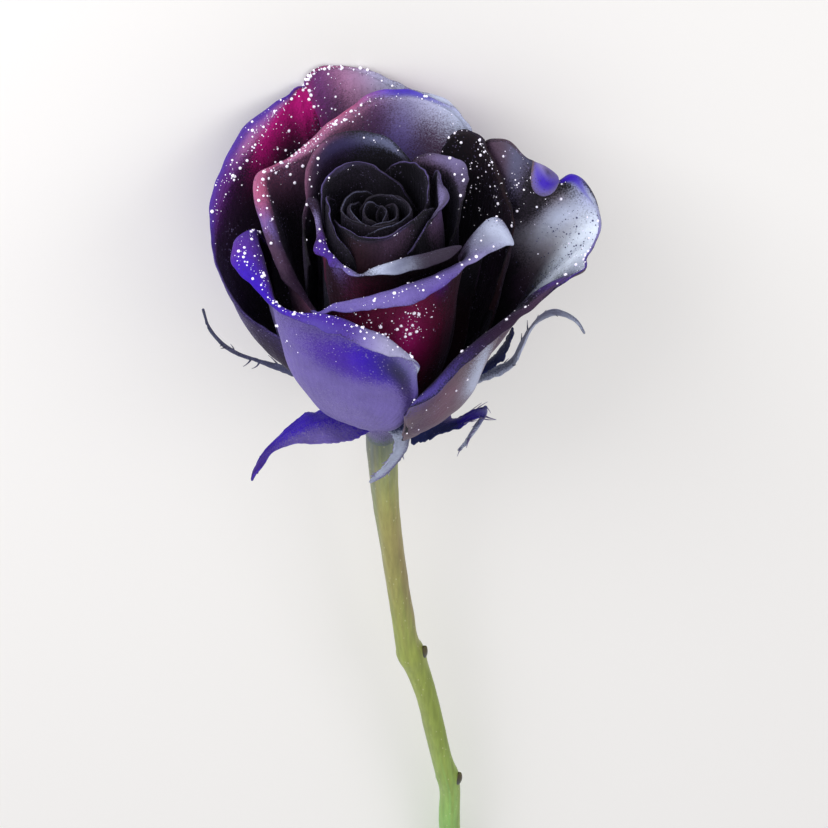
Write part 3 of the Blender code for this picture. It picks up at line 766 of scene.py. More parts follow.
# %% Crimson petal
grow_petal(
    "petal_crimson", MIDDLE, 322, facing=22, foot=4.6, belly=10, lift=1.5,
    rim=[
        (-44, 15.5, 34, 0, 10, 1.4), (-37, 17, 39, 0, 50, 1.2), (-31, 17.9, 40.4, 0, 90, 1),
        (-26, 16.8, 41.7, 0, 120, 1.2), (-18.6, 16, 42.6, 0, 140, 1.7), (-11, 15, 43, 0, 145, 2),
        (1, 14.1, 43.3, 0, 145, 2.3), (13, 13.8, 43.3, 0, 145, 2.5), (24, 13.5, 43.6, 2, 145, 2.4),
        (34, 13.7, 43.9, 4, 140, 2.1), (45, 14.2, 44.2, 6, 130, 1.7), (55, 14.9, 44.4, 10, 110, 1.2),
        (64, 15.4, 44.4, 15, 100, 1.4), (73, 15.2, 44.9, 22, 115, 3), (82, 15.2, 45.2, 30, 125, 3.8),
        (90, 15.9, 45.5, 34, 125, 3.6), (96, 17, 45.4, 32, 100, 2.4), (99.5, 17.9, 43.6, 15, 40, 1.2),
        (101, 17, 38, 5),
    ],
    inside=("plum", [
        (42, 92, 36, 14, "lavender", 95), (12, 92, 10, 12, "iris", 80), (52, 99, 8, 5, "violet", 50),
        (70, 86, 7, 12, "smoke", 70), (69, 97, 5, 6, "lilac", 80), (79, 92, 8, 14, "mist", 95),
    ]),
    outside=("oxblood", [
        (35, 62, 16, 20, "crimson", 90), (50, 55, 12, 22, "crimson", 95), (46, 56, 5, 12, "magenta", 50),
        (25, 40, 20, 20, "crimson", 50), (58, 77, 3, 5, "ultraviolet", 70), (85, 60, 16, 30, "ink", 90),
    ]),
)


# %% [markdown]
# ## The heart
#
# Towards the centre the petals are short, nearly black and wind round each other. Only a thin lavender line
# shows on each edge. It is partly lavender spray and partly a painted highlight where the rolled edge catches
# the light.

# %% Grid, folds and lips of the heart petals
HEART = (heart_petal, 52, 32)
HEART_FOLDS = dict(wave=0.25, ribs=0.04, dents=0.14)
# Along each edge, a faint smoky band and a thin lavender line: spray, and a painted highlight where the rolled
# edge catches the light
EDGE_SPRAY_AND_HIGHLIGHT = [(50, 96, 70, 9, "smoke", 70), (45, 100, 30, 3, "lavender", 60)]

# %% Collar petal
grow_petal(
    "petal_collar", HEART, 500, facing=-14, foot=4.2, belly=9, lift=1.5, **HEART_FOLDS,
    rim=[
        (-124, 11.6, 42, -5), (-119, 11.8, 45.2, 0, 20, 1), (-104, 10.3, 48.2, 5, 60, 1.4),
        (-95, 9.8, 49.1, 8, 95, 1.8), (-84, 9.6, 49, 8, 80, 1.2), (-74, 9.7, 48.8, 8, 85, 0.9),
        (-65, 10, 48.2, 5, 95, 0.9), (-54, 10.6, 47.5, 5, 110, 1.3), (-47, 11.1, 46.9, 5, 130, 1.7),
        (-41, 11.2, 46.6, 5, 85, 1.2), (-34, 11.4, 46.1, 5, 130, 1.8), (-28, 11.7, 45.8, 5, 90, 1.2),
        (-21, 11.7, 45.6, 5, 115, 1.4), (-14, 12, 45.2, 5, 70, 0.8), (-6, 11.2, 45.9, 5, 110, 1.5),
        (8, 10.5, 46.4, 8, 125, 2.2), (22, 10.2, 46.6, 8, 125, 2.4), (37, 10.7, 46.6, 8, 125, 2.5),
        (50, 11.6, 46.4, 8, 120, 2.3), (62, 12.6, 45.6, 5, 90, 2), (72, 13.2, 43.4, 0, 30, 1.5),
        (78, 12.6, 38, 0),
    ],
    inside=("plum", [
        (27, 96, 5, 14, "lilac", 70), (34, 93, 3, 10, "purple", 50), (41, 93, 6, 14, "violet", 95),
        (47, 95, 4, 10, "lavender", 90), (57, 94, 6, 14, "mist", 100), (63, 92, 4, 12, "slate", 80),
        (76, 93, 9, 20, "smoke", 80),
    ]),
    outside=("oxblood", [
        (30, 70, 6, 30, "crimson", 90), (43, 82, 5, 8, "lavender", 80), (50, 66, 10, 20, "crimson", 40),
        (72, 50, 20, 40, "ink", 80),
    ]),
)

# %% Heart petal at the back
grow_petal(
    "heart_back", HEART, 511, facing=-142, foot=4, belly=9, lift=1.5, **HEART_FOLDS,
    rim=[
        (-70, 12, 41, -5), (-95, 12.4, 45, 0, 30, 1.2), (-112, 12.2, 47, 0, 50, 1.6),
        (-124, 12.8, 48.8, 5, 75, 1.9), (-137, 13.8, 50, 8, 85, 2), (-150, 14.3, 50.8, 8, 90, 2.1),
        (-162, 13.9, 51.3, 8, 90, 2.1), (-174, 12.9, 51.6, 8, 85, 2), (-187, 11.9, 51.6, 5, 75, 1.8),
        (-198, 11.3, 51.2, 0, 50, 1.4), (-206, 11.6, 49.5, -5, 20, 1), (-212, 12, 43, -5),
    ],
    inside=("ink", [
        (40, 85, 20, 16, "plum", 90), (52, 86, 12, 10, "indigo", 80), (26, 92, 12, 12, "dusk", 80),
        # The mauve line along the rolled edge is partly spray and partly a painted highlight where the edge
        # catches the light
        (38, 97, 12, 5, "mauve", 70), (71, 90, 7, 10, "slate", 85), (84, 86, 8, 12, "smoke", 80),
    ]),
    outside=("ink", [(30, 70, 30, 30, "plum", 70)]),
)

# %% Heart petal at the right
grow_petal(
    "heart_right", HEART, 522, facing=122, foot=4, belly=9, lift=1.5, **HEART_FOLDS,
    rim=[
        (160, 12, 45, 0), (155, 12.4, 48.6, 3, 20, 1.2), (148, 12.4, 49.8, 5, 60, 1.6),
        (140, 12.9, 50, 8, 85, 1.9), (131, 13.6, 49.9, 8, 95, 2.1), (122, 13.9, 49.8, 8, 95, 2.1),
        (112, 13.5, 49.4, 8, 85, 1.8), (103, 13.2, 48.4, 5, 60, 1.4), (96, 12.8, 47, 0, 30, 1),
        (92, 12.2, 44.5, 0, 10, 1), (88, 11.6, 40, 0),
    ],
    inside=("ink", [
        # The lilac line near the rolled edge is partly spray and partly a painted highlight where the edge
        # catches the light
        (36, 90, 20, 12, "dusk", 80), (44, 94, 14, 9, "lilac", 70), (62, 95, 20, 8, "smoke", 70),
    ]),
    outside=("ink", [(50, 80, 40, 20, "plum", 60)]),
)

# %% Spear-shaped heart petal
grow_petal(
    "heart_spear", HEART, 533, facing=84, foot=3.8, belly=7, lift=1.5, **HEART_FOLDS,
    rim=[
        (134, 11.6, 46.5, 0, 0, 0.8), (128, 11.5, 50, 5, 5, 0.8), (123.5, 11.6, 51.8, 5, 20, 0.8),
        (113, 10.4, 50.5, 0, 90, 1), (102, 9.8, 49.8, -5, 115, 1.3), (94, 9.7, 49.3, -8, 110, 1.2),
        (87, 9, 48.9, -10, 90, 0.9), (78, 8.4, 48.2, -12, 80, 0.8), (62, 7.9, 47.2, -12, 80, 0.9),
        (46, 7.9, 45.8, -12, 70, 1.2), (40, 7.6, 43.5, -8, 30, 1), (40, 6.4, 38, 0, 0, 0.8),
    ],
    inside=("ink", [(38, 92, 14, 16, "lilac", 70), *EDGE_SPRAY_AND_HIGHLIGHT]),
    outside=("ink", [(46, 82, 12, 14, "dusk", 90), (36, 90, 10, 10, "lavender", 60)]),
)

# %% Whorl petal at the left
grow_petal(
    "whorl_left", HEART, 544, facing=-134, foot=3.6, belly=6, lift=1.5, **HEART_FOLDS,
    rim=[
        (-84, 8.6, 43, 0, 0, 0.8), (-86, 9.1, 47.5, 0, 10, 0.8), (-97, 9.2, 49.8, 0, 30, 0.8),
        (-114, 9.8, 50.8, 0, 50, 0.9), (-129, 9.2, 51.8, 0, 60, 1), (-144, 8.7, 52.2, 0, 60, 1),
        (-158, 8.3, 52.2, 0, 60, 1), (-171, 7.3, 52.2, 0, 40, 0.8), (-186, 6.5, 51.7, 0, 10, 0.8),
        (-199, 6.8, 50.3, -5, 0, 0.8), (-215, 7.2, 47.8, -5, 0, 0.8), (-224, 8.2, 44, -5, 0, 0.8),
    ],
    inside=("ink", [(52, 90, 12, 9, "indigo", 90), (50, 75, 40, 20, "smoke", 35), *EDGE_SPRAY_AND_HIGHLIGHT]),
    outside=("ink", [(50, 90, 50, 12, "smoke", 60)]),
)

# %% Whorl petal at the right
grow_petal(
    "whorl_right", HEART, 555, facing=132, foot=3.6, belly=6, lift=1.5, **HEART_FOLDS,
    rim=[
        (178, 9.8, 45.5, 0, 0, 0.7), (172, 9.4, 49.5, 0, 0, 0.7), (166, 8.7, 51.2, 0, 10, 0.7),
        (160, 9.1, 52, 0, 20, 0.7), (151, 9.5, 52.3, 0, 35, 0.8), (138, 9.6, 52.1, 0, 40, 0.8),
        (126, 9.4, 51.6, 0, 40, 0.8), (113, 8.7, 51.2, 0, 25, 0.7), (104, 8.1, 50.7, -5, 15, 0.7),
        (100, 8, 49.6, -5, 5, 0.7), (104, 7.6, 47.6, -5, 0, 0.7), (118, 7.6, 43, -5, 0, 0.7),
    ],
    inside=("ink", EDGE_SPRAY_AND_HIGHLIGHT),
    outside=("ink", [(50, 90, 50, 12, "smoke", 60)]),
)

# %% Whorl petal in front
grow_petal(
    "whorl_front", HEART, 566, facing=0, foot=3.4, belly=6, lift=1.5, **HEART_FOLDS,
    rim=[
        (-88, 7.2, 44, 0, 0, 0.7), (-81, 7.2, 47.6, -5, 10, 0.7), (-56, 7.1, 48.6, -12, 40, 0.9),
        (-37, 7.6, 49, -14, 60, 1), (-22, 8.3, 49.3, -16, 60, 0.8), (-10, 8.1, 49.4, -16, 80, 1),
        (0, 7.9, 49.4, -16, 90, 1.2), (13, 7.7, 49.7, -16, 80, 1.1), (28, 6.9, 50, -16, 60, 0.9),
        (50, 6.6, 50.1, -12, 40, 0.8), (75, 7.2, 50.1, -8, 20, 0.7), (88, 8.4, 49.5, 0, 0, 0.7),
        (98, 9.2, 45, 0, 0, 0.7),
    ],
    inside=("ink", EDGE_SPRAY_AND_HIGHLIGHT),
    outside=("ink", [
        (40, 66, 16, 14, "oxblood", 90), (58, 80, 12, 10, "dusk", 90), (57, 90, 6, 6, "lavender", 50),
        (36, 88, 20, 6, "smoke", 60),
    ]),
)

# %% Whorl petal at the side
grow_petal(
    "whorl_side", HEART, 577, facing=-70, foot=3.6, belly=6, lift=1.5, **HEART_FOLDS,
    rim=[
        (-120, 8.4, 45, 0, 0, 0.7), (-112, 8.4, 48.6, 0, 0, 0.7), (-104, 8.6, 50, -5, 20, 0.7),
        (-92, 8.5, 50.3, -5, 25, 0.7), (-78, 8.3, 50.1, -8, 30, 0.7), (-60, 8.7, 49.5, -10, 30, 0.7),
        (-44, 9.2, 48.5, -10, 30, 0.7), (-31, 9.6, 47.3, -10, 20, 0.7), (-23, 9.4, 44, -5, 0, 0.7),
    ],
    inside=("ink", EDGE_SPRAY_AND_HIGHLIGHT),
    outside=("ink", [(50, 85, 50, 15, "smoke", 50)]),
)


# %% [markdown]
# ## The furled centre
#
# The last petals are wound into a small flattened bud. Each is turned on from the one outside it and is
# tighter, and the front of each stands a little lower than its back, so that the eye looks into the winding.

# %% Furled centre
FURLED = (heart_petal, 36, 24)
# Facing, radius and half the span of each, from the outside in
FURLED_TURNS = [
    (-62, 6.1, 112), (66, 5.5, 104), (-30, 4.9, 112), (150, 4.7, 96), (48, 3.6, 108), (-84, 2.6, 100),
    (100, 1.4, 90),
]
# A fainter smoky band and slate line along each furled edge: spray, and a painted highlight where the edge
# catches the light
FAINT_EDGE_SPRAY_AND_HIGHLIGHT = [(50, 96, 60, 8, "smoke", 70), (30, 100, 24, 3, "slate", 60)]
FURLED_HEIGHT = 49.6
FURLED_TIP_BACK = 0.9
FURLED_FLATNESS = 0.34
FURLED_WINDING = 0.14
FURLED_STEP_DOWN = 0.15
FURLED_FOOT = 3.2
FURLED_FOOT_STEP = 0.4
FURLED_FOOT_LEAST = 1.2
# Lean, roll and its radius
FURLED_LIP = (-4, 30, 0.4)
# Places along the edge of a furled petal, and how far it drops there
FURLED_EDGE = ((-1, 6), (-0.85, 1.4), (-0.6, 0.2), (-0.2, 0), (0.2, 0.3), (0.6, 0.1), (0.85, 1.2), (1, 6))

for k, (facing, radius, half_span) in enumerate(FURLED_TURNS):
    rim = []
    for share, drop in FURLED_EDGE:
        turn = facing + share * half_span
        facing_viewer = math.cos(math.radians(turn))
        flattened = radius * (1 - FURLED_FLATNESS * abs(facing_viewer)) * (1 - FURLED_WINDING * share)
        height = FURLED_HEIGHT - FURLED_TIP_BACK * facing_viewer - drop - FURLED_STEP_DOWN * k
        rim.append((turn, flattened, height, *FURLED_LIP))
    foot = max(FURLED_FOOT - FURLED_FOOT_STEP * k, FURLED_FOOT_LEAST)
    grow_petal(
        f"furled_{k + 1}", FURLED, 700 + 11 * k, facing=facing, foot=foot, belly=1.2, lift=1.5,
        wave=0.2, ribs=0.03, dents=0.1, rim=rim,
        inside=("ink", FAINT_EDGE_SPRAY_AND_HIGHLIGHT), outside=("ink", [(50, 85, 50, 15, "smoke", 70)]),
    )

# %% [markdown]
# ## The core
#
# The petals spring from a small cone inside the flower. It is hardly seen, but it closes the view down
# between the feet of the petals. It and the other round pieces start as a flat grid that is rolled into a
# tube and welded shut.

# %% Rolled tubes
WELD_WITHIN = 1e-7


def rolled_tube(name, rings):
    """A closed tube through rings of upright points. A ring ends on its first point, and is welded there."""
    rings = np.asarray(rings, float)
    count, sides = rings.shape[:2]
    obj, column, row = blank_grid(name, sides, count)
    points = laid_down(rings[row, column])
    points[:, 2] = np.maximum(points[:, 2], 0)
    place_points(obj, points)
    shape = bmesh.new()
    shape.from_mesh(obj.data)
    bmesh.ops.remove_doubles(shape, verts=shape.verts, dist=WELD_WITHIN)
    bmesh.ops.holes_fill(shape, edges=[edge for edge in shape.edges if edge.is_boundary], sides=0)
    bmesh.ops.recalc_face_normals(shape, faces=shape.faces)
    shape.to_mesh(obj.data)
    shape.free()
    return obj


def turned_rings(outline, sides):
    """Rings round the axis, from an outline of radius and height."""
    azimuth = np.linspace(0, math.tau, sides + 1)
    return np.array([round_the_axis(azimuth, radius, height + 0 * azimuth) for radius, height in outline])


# %% Core
# Radius and height
CORE_OUTLINE = [(5.4, 6.3), (6, 7.6), (5.6, 10.5), (4.3, 14), (2.6, 20), (1.2, 30), (0.7, 43)]
CORE_SIDES = 32
CORE_WIDTH = 10
CORE_HEIGHT = 45

core = rolled_tube("core", turned_rings(CORE_OUTLINE, CORE_SIDES))
rounded(core)
places = upright(points_of(core))
across, along = places[:, 0] / CORE_WIDTH, places[:, 2] / CORE_HEIGHT
paint(core, airbrushed(across, along, "ink", [(0, 10, 100, 15, "lavender", 60)], 40))
finish_piece(core, heart_petal, "bloom")

# %% [markdown]
# ## Sepals
#
# Five sepals spread from under the bloom, and the one at the right has a small second lobe. They were green
# leaves and took the spray as petals do: vivid violet in front, navy and pale blue at the sides. Each is a
# keeled strip along a spine of points: azimuth, radius, height and half width. Its edges are torn into fine
# teeth. Where one coat is given, both faces have it.

# %% Sepals
SEPAL_BLADE = 0.4
SEPAL_KEEL = 0.35
SEPAL_LEAST = 0.12

SEPALS = {
    "sepal_front_left": dict(
        teeth=0.05, wave=0.3,
        spine=[
            (-56, 3.2, 4.6, 3.4), (-59, 8.5, 6.2, 4.5), (-60, 13, 7.2, 4.2), (-61.5, 17.2, 6.6, 2.3),
            (-62.5, 20.4, 5, 1.1), (-63, 22.8, 2.6, 0.75), (-63.5, 24.3, -0.2, 0.6), (-64, 24.9, -2.4, 0.2),
        ],
        inside=("ultraviolet", [(90, 40, 40, 40, "lavender", 90), (50, 90, 60, 20, "violet", 80)]),
    ),
    "sepal_front": dict(
        teeth=0.16, wave=0.2,
        spine=[
            (44, 3.2, 4, 2.2), (38, 6.2, 3.4, 2), (30, 7.2, 0.8, 1.5), (18, 6.8, -2.6, 1.2),
            (2, 6.2, -5.6, 0.9), (-12, 5.9, -7.4, 0.5), (-22, 5.8, -8.8, 0.1),
        ],
        inside=("lilac", [(50, 20, 60, 30, "violet", 70)]),
        outside=("mist", [
            (50, 8, 60, 14, "navy", 90), (80, 70, 40, 40, "lavender", 60), (90, 50, 20, 30, "slate", 70),
        ]),
    ),
    "sepal_right": dict(
        teeth=0.22, wave=0.35,
        spine=[
            (78, 3.2, 4.2, 3.6), (76, 6.4, 4, 4.8), (74, 9.6, 4, 4), (73, 11.8, 4.2, 2.2),
            (74, 14.2, 5.4, 1.4), (75, 16.8, 7.6, 1.3), (77, 18.4, 7.9, 1.2), (76, 17.6, 5, 1),
            (73, 15.8, 1.4, 0.7), (71, 14.2, -1.6, 0.2),
        ],
        inside=("navy", [
            (50, 10, 30, 12, "slate", 50), (85, 33, 35, 9, "lavender", 95), (60, 26, 10, 10, "slate", 60),
            (50, 50, 70, 11, "ultraviolet", 95), (50, 64, 70, 5, "iris", 80), (50, 86, 80, 18, "mist", 95),
        ]),
    ),
    "sepal_right_back": dict(
        teeth=0.4, wave=0.2,
        spine=[
            (122, 3.2, 4.2, 3), (116, 10, 4.6, 2.6), (110, 18, 6, 1.3), (106, 23.2, 9, 0.8),
            (104, 24.8, 13.5, 0.55), (101.5, 25.8, 18, 0.45), (98, 27.6, 22.4, 0.5), (93, 30.2, 25.4, 0.5),
            (90, 32.8, 25, 0.3), (88.5, 34.4, 22.8, 0.12),
        ],
        inside=("mist", [(50, 40, 60, 15, "slate", 60), (50, 97, 60, 8, "slate", 80)]),
    ),
    "sepal_right_lobe": dict(
        teeth=0.3, wave=0.2,
        spine=[
            (113, 15, 5.6, 1), (110.5, 19.6, 8, 0.9), (108.6, 21.8, 11, 1.1), (107, 22.8, 14, 0.8),
            (105.5, 23.4, 17.4, 0.1),
        ],
        inside=("navy", [(80, 50, 30, 40, "slate", 50)]), outside=("navy", []),
    ),
    "sepal_left_back": dict(
        teeth=0.4, wave=0.2,
        spine=[
            (-128, 3.2, 4.2, 3), (-124, 10, 4.2, 2.2), (-120, 17, 4.4, 0.9), (-116, 22.5, 5.6, 0.4),
            (-109, 26.2, 9, 0.3), (-103, 28.4, 14, 0.28), (-100, 30, 19, 0.26), (-98.5, 30.6, 23.5, 0.1),
        ],
        inside=("slate", [(50, 70, 60, 30, "pale", 40)]),
        outside=("slate", [(50, 50, 40, 30, "lavender", 40)]),
    ),
}


# %% Sepal surface
def sepal_sheet(sepal, columns, rows, seed):
    """A keeled strip with toothed edges, then its spine, half widths, and directions across it and up."""
    spine = np.array(sepal["spine"], float)
    line = np.column_stack([round_the_axis(np.radians(spine[:, 0]), spine[:, 1], spine[:, 2]), spine[:, 3]])
    line = along_curve(line, np.linspace(0, 1, rows))
    place, half_width = line[:, :3], np.maximum(line[:, 3], SEPAL_LEAST)
    onward = unit(np.gradient(place, axis=0))
    azimuth = np.arctan2(place[:, 0], -place[:, 1])
    across = unit(np.stack([np.cos(azimuth), np.sin(azimuth), 0 * azimuth], axis=1))
    across = unit(across - (across * onward).sum(axis=1)[:, None] * onward)
    normal = np.cross(across, onward)
    draw = np.random.default_rng(seed)
    strips = []
    for share in np.linspace(-1, 1, columns):
        tooth = draw.uniform(-1, 1, rows) if abs(share) == 1 else np.zeros(rows)
        wave = sepal["wave"] * abs(share) * drift(np.linspace(0, 3, rows), share, seed, finest=2.0)
        width = half_width * share * (1 + sepal["teeth"] * tooth)
        lift = SEPAL_KEEL * abs(share) * half_width + wave
        strips.append(place + width[:, None] * across + lift[:, None] * normal)
    return np.stack(strips, axis=1), place, half_width, across, normal


# %% Growing the sepals
SEPAL_COLUMNS = 13
SEPAL_ROWS = 72

sepal_leaf = petal_material("airbrushed_leathery_sepal", 0.5, 0.05, 0.25, 1.1, 0.4, 0.2)
spines = {}
for k, (name, sepal) in enumerate(SEPALS.items()):
    seed = 800 + 13 * k
    sheet, *spines[name] = sepal_sheet(sepal, SEPAL_COLUMNS, SEPAL_ROWS, seed)
    faces = (sepal["inside"], sepal.get("outside", sepal["inside"]))
    leaf = blade_from(name, sheet, SEPAL_BLADE, faces, seed)
    finish_piece(leaf, sepal_leaf, "calyx")
print(len(SEPALS), "sepals")

# %% [markdown]
# ## Receptacle
#
# Under the bloom the stem widens into the receptacle, the cup that the sepals and petals spring from. It is a
# turned outline. Its lower end reaches over the stem and its top up into the bloom, so that no gap shows from
# below.

# %% Receptacle
HIP_OUTLINE = [
    (2.6, -2.8), (2.95, -2.2), (3, -0.4), (3.5, 1.4), (4.6, 3.2), (5.4, 4.8), (5.6, 6.4), (5.6, 7.8),
    (5, 9.2), (3.4, 10.2), (1.2, 10.6),
]
HIP_SIDES = 40
HIP_WIDTH = 8
HIP_LOWEST = -3
HIP_HEIGHT = 9

hip = rolled_tube("receptacle", turned_rings(HIP_OUTLINE, HIP_SIDES))
rounded(hip, 2)
places = upright(points_of(hip))
across, along = places[:, 0] / HIP_WIDTH, (places[:, 2] - HIP_LOWEST) / HIP_HEIGHT
paint(hip, airbrushed(across, along, "lilac", [
    (-30, 90, 50, 50, "violet", 80), (50, 80, 40, 50, "navy", 80), (0, 0, 200, 30, "sage", 90),
], 45))
finish_piece(hip, sepal_leaf, "calyx")

# %% [markdown]
# ## Leafy threads
#
# The torn edges of the sepals end in threads a few tenths of a millimetre thick. Each is a tapered tube that
# leaves its sepal sideways and bends towards the tip. They are drawn from a seeded rule and joined into one
# piece.

# %% Threads
THREAD_SIDES = 5
THREAD_RINGS = 7
THREAD_ROOT = 0.85
THREAD_TAPER = 0.8
THREAD_RADII = (0.13, 0.22)
THREAD_LEAN = 0.7
THREAD_STRAY = 0.4
THREAD_BEND_STRAY = 0.5
THREAD_SHORTEST = 0.4
UNEVEN_SPACING = 0.9
LONGER_AT_FOOT = 1.35
# How many, from and to which share of the sepal, the longest length and the dye
THREADS = {
    "sepal_front_left": (4, 0.7, 0.97, 0.9, "violet"),
    "sepal_front": (12, 0.35, 0.95, 1.2, "pale"),
    "sepal_right": (20, 0.42, 0.98, 3.4, "lilac"),
    "sepal_right_back": (8, 0.4, 0.9, 1.8, "slate"),
    "sepal_left_back": (7, 0.35, 0.8, 3.0, "slate"),
}


def thread_rings(start, heading, bend, length, thickness):
    """Rings of a thread that leaves in one direction, bends to another and thins to a point."""
    t = np.linspace(0, 1, THREAD_RINGS)[:, None]
    line = start + length * (t * heading + 0.5 * t * t * bend)
    onward = unit(np.gradient(line, axis=0))
    side = unit(np.cross(onward, (0.3, 0.2, 1)))
    front = np.cross(side, onward)
    turn = np.linspace(0, math.tau, THREAD_SIDES + 1)[None, :, None]
    radius = (thickness * (1 - THREAD_TAPER * t))[:, :, None]
    return line[:, None] + radius * (np.cos(turn) * side[:, None] + np.sin(turn) * front[:, None])


draw = np.random.default_rng(77)
threads = []
for name, (count, first, last, length, dye) in THREADS.items():
    place, half_width, across, normal = spines[name]
    onward = unit(np.gradient(place, axis=0))
    for k in range(count):
        share = first + (last - first) * (k + draw.uniform(0, UNEVEN_SPACING)) / count
        at = int(share * (len(place) - 1))
        side = 1 if draw.uniform() < 0.5 else -1
        root = place[at] + THREAD_ROOT * half_width[at] * (side * across[at] + SEPAL_KEEL * normal[at])
        heading = unit(side * across[at] + THREAD_LEAN * onward[at] + THREAD_STRAY * draw.uniform(-1, 1, 3))
        bend = onward[at] + THREAD_BEND_STRAY * draw.uniform(-1, 1, 3)
        reach = length * draw.uniform(THREAD_SHORTEST, 1) * (LONGER_AT_FOOT - at / len(place))
        rings = thread_rings(root, heading, bend, reach, draw.uniform(*THREAD_RADII))
        thread = rolled_tube("thread", rings)
        paint(thread, airbrushed(np.zeros(len(thread.data.vertices)), np.zeros(1), dye, [], 0))
        threads.append(thread)
select_only(*threads)
bpy.ops.object.join()
threads[0].name = "sepal_threads"
finish_piece(threads[0], sepal_leaf, "calyx")
print(len(threads), "threads")

# %% [markdown]
# ## Stem
#
# The stem is the one part that kept its own colour: grey-green with a bloom of blue overspray under the
# flower, olive below it and fresh green towards the cut. It swells at each leaf joint, where a scar runs
# round it and a small bud sits. It is a tube along a bent line of x, y, height and radius, with a slightly
# uneven girth.

# %% Stem line
STEM_LINE = [
    (0, 0, 0, 2.5), (0, 0, -2.7, 2.8), (0.1, 0, -9, 2.65), (0.6, 0, -20, 2.35), (1.8, 0, -34, 2.1),
    (3.4, 0, -50, 2.15), (4.4, 0, -59, 2.35), (5.1, 0, -62, 2.75), (5.7, 0, -64.2, 2.45),
    (7.6, -0.2, -72, 2.1), (9.9, -0.3, -86, 2.05), (11.6, -0.5, -96, 2.1), (12.4, -0.5, -99.6, 2.3),
    (12.7, -0.5, -102, 2.15), (12.8, -0.6, -112, 2.15), (13.5, -0.8, -128, 2.3), (14.2, -0.9, -134.5, 2.8),
    (14.6, -1, -137.5, 2.5), (16.2, -1, -152, 2.55),
]
# Height and azimuth of each leaf joint
JOINTS = [(-60.6, 84), (-98.4, 78), (-133.4, -96)]


def tube_round(line, sides, girth=None):
    """Rings of points round a line of x, y, z and radius. Girth scales the radius, by ring and side."""
    onward = unit(np.gradient(line[:, :3], axis=0))
    side = unit(np.cross(onward, (0, 1, 0)))
    front = np.cross(onward, side)
    turn = np.linspace(0, math.tau, sides + 1)[None, :, None]
    radius = line[:, None, 3:] * (1 if girth is None else girth[..., None])
    return line[:, None, :3] + radius * (np.cos(turn) * side[:, None] + np.sin(turn) * front[:, None])


# %% Stem
STEM_SIDES = 40
STEM_RINGS = 170
STEM_LENGTH = 152
STEM_RADIUS = 2.5
LUMPS = 0.012
LUMP_LENGTH = 14
SWELLS = 0.008
SWELL_LENGTH = 40
SCAR_RISE = 0.035
SCAR_WIDTH = 0.5
SCAR_SLANT = 0.25

line = along_curve(STEM_LINE, np.linspace(0, 1, STEM_RINGS))
around = np.linspace(0, math.tau, STEM_SIDES + 1)
lengthways, turn = np.meshgrid(line[:, 2], around, indexing="ij")
girth = 1 + LUMPS * drift(np.cos(turn) * 1.2, lengthways / LUMP_LENGTH, 61)
girth = girth + SWELLS * drift(np.sin(turn) * 3, lengthways / SWELL_LENGTH, 62)
for height, azimuth in JOINTS:
    slant = SCAR_SLANT * np.cos(turn - math.radians(azimuth) + math.pi / 2)
    girth = girth + SCAR_RISE * np.exp(-(((lengthways - height - slant) / SCAR_WIDTH) ** 2))
stem = rolled_tube("stem_bark", tube_round(line, STEM_SIDES, girth))
places = upright(points_of(stem))
share = -places[:, 2] / STEM_LENGTH
across = (places[:, 0] - np.interp(share, -line[:, 2] / STEM_LENGTH, line[:, 0])) / STEM_RADIUS
# Across the stem, the khaki brown and moss sprays on its right side and the sage sprays on its left are partly
# its own tones and partly painted shade on the right and painted light on the left
paint(stem, airbrushed(across, share, "olive", [
    (0, 0, 900, 9, "sage", 95), (-100, 4, 80, 8, "slate", 50), (0, 20, 900, 12, "straw", 95),
    (100, 24, 80, 12, "khaki_brown", 90), (-100, 18, 40, 12, "sage", 60), (90, 54, 80, 14, "moss", 100),
    (-100, 58, 60, 12, "sage", 30), (0, 82, 900, 16, "fresh", 100), (0, 100, 900, 20, "fresh", 90),
    (100, 80, 60, 20, "moss", 60),
], 63))

# %% [markdown]
# Rose bark is waxy and a little glossier than the petals. Fine streaks run along it, no more than a
# millimetre wide and eight long, and small pale pores break its skin. The streaks are raised slightly, and
# the dyes lie under both.

# %% Stem material
STREAKS_PER_MM = (1.1, 0.12, 1.1)
PORES_PER_MM = (1, 0.5, 1)
STREAK_DEPTH = 0.12


def stem_material(name):
    """Green bark: soft streaks along it and pale pores."""
    material, shader = new_material(name)
    base = add(material, "Attribute", attribute_name="base_coat")
    spray = add(material, "Attribute", attribute_name="spray_coat")
    where = add(material, "TexCoord")
    dyed = add(material, "Mix", {"Factor": spray.outputs["Alpha"], 6: base, 7: spray}, data_type="RGBA")
    along = {0: where.outputs["Object"], "Scale": [n / MM for n in STREAKS_PER_MM]}
    grain = {0: add(material, "Mapping", along), "Scale": 1, "Detail": 5, "Roughness": 0.6}
    streaks = add(material, "TexNoise", grain)
    levels = {0: streaks, "From Min": 0.3, "From Max": 0.7, "To Min": 0.78, "To Max": 1.18}
    soft = add(material, "MapRange", levels)
    streaked = add(material, "VectorMath", {0: dyed, 3: soft}, operation="SCALE")
    pitch = {0: where.outputs["Object"], "Scale": [n / MM for n in PORES_PER_MM]}
    pores = add(material, "TexVoronoi", {0: add(material, "Mapping", pitch), "Scale": 1.1, "Randomness": 1})
    pore = add(material, "Math", {0: pores, 1: 0.13}, operation="LESS_THAN")
    pore_share = add(material, "Math", {0: pore, 1: 0.45}, operation="MULTIPLY")
    pored = add(material, "Mix", {"Factor": pore_share, 6: streaked, 7: opaque("C9C7A0")}, data_type="RGBA")
    bump = add(material, "Bump", {"Height": streaks, "Distance": STREAK_DEPTH * MM, "Strength": 1})
    feed(shader, {"Base Color": pored, "Normal": bump, "Roughness": 0.48, "IOR": 1.45})
    return material


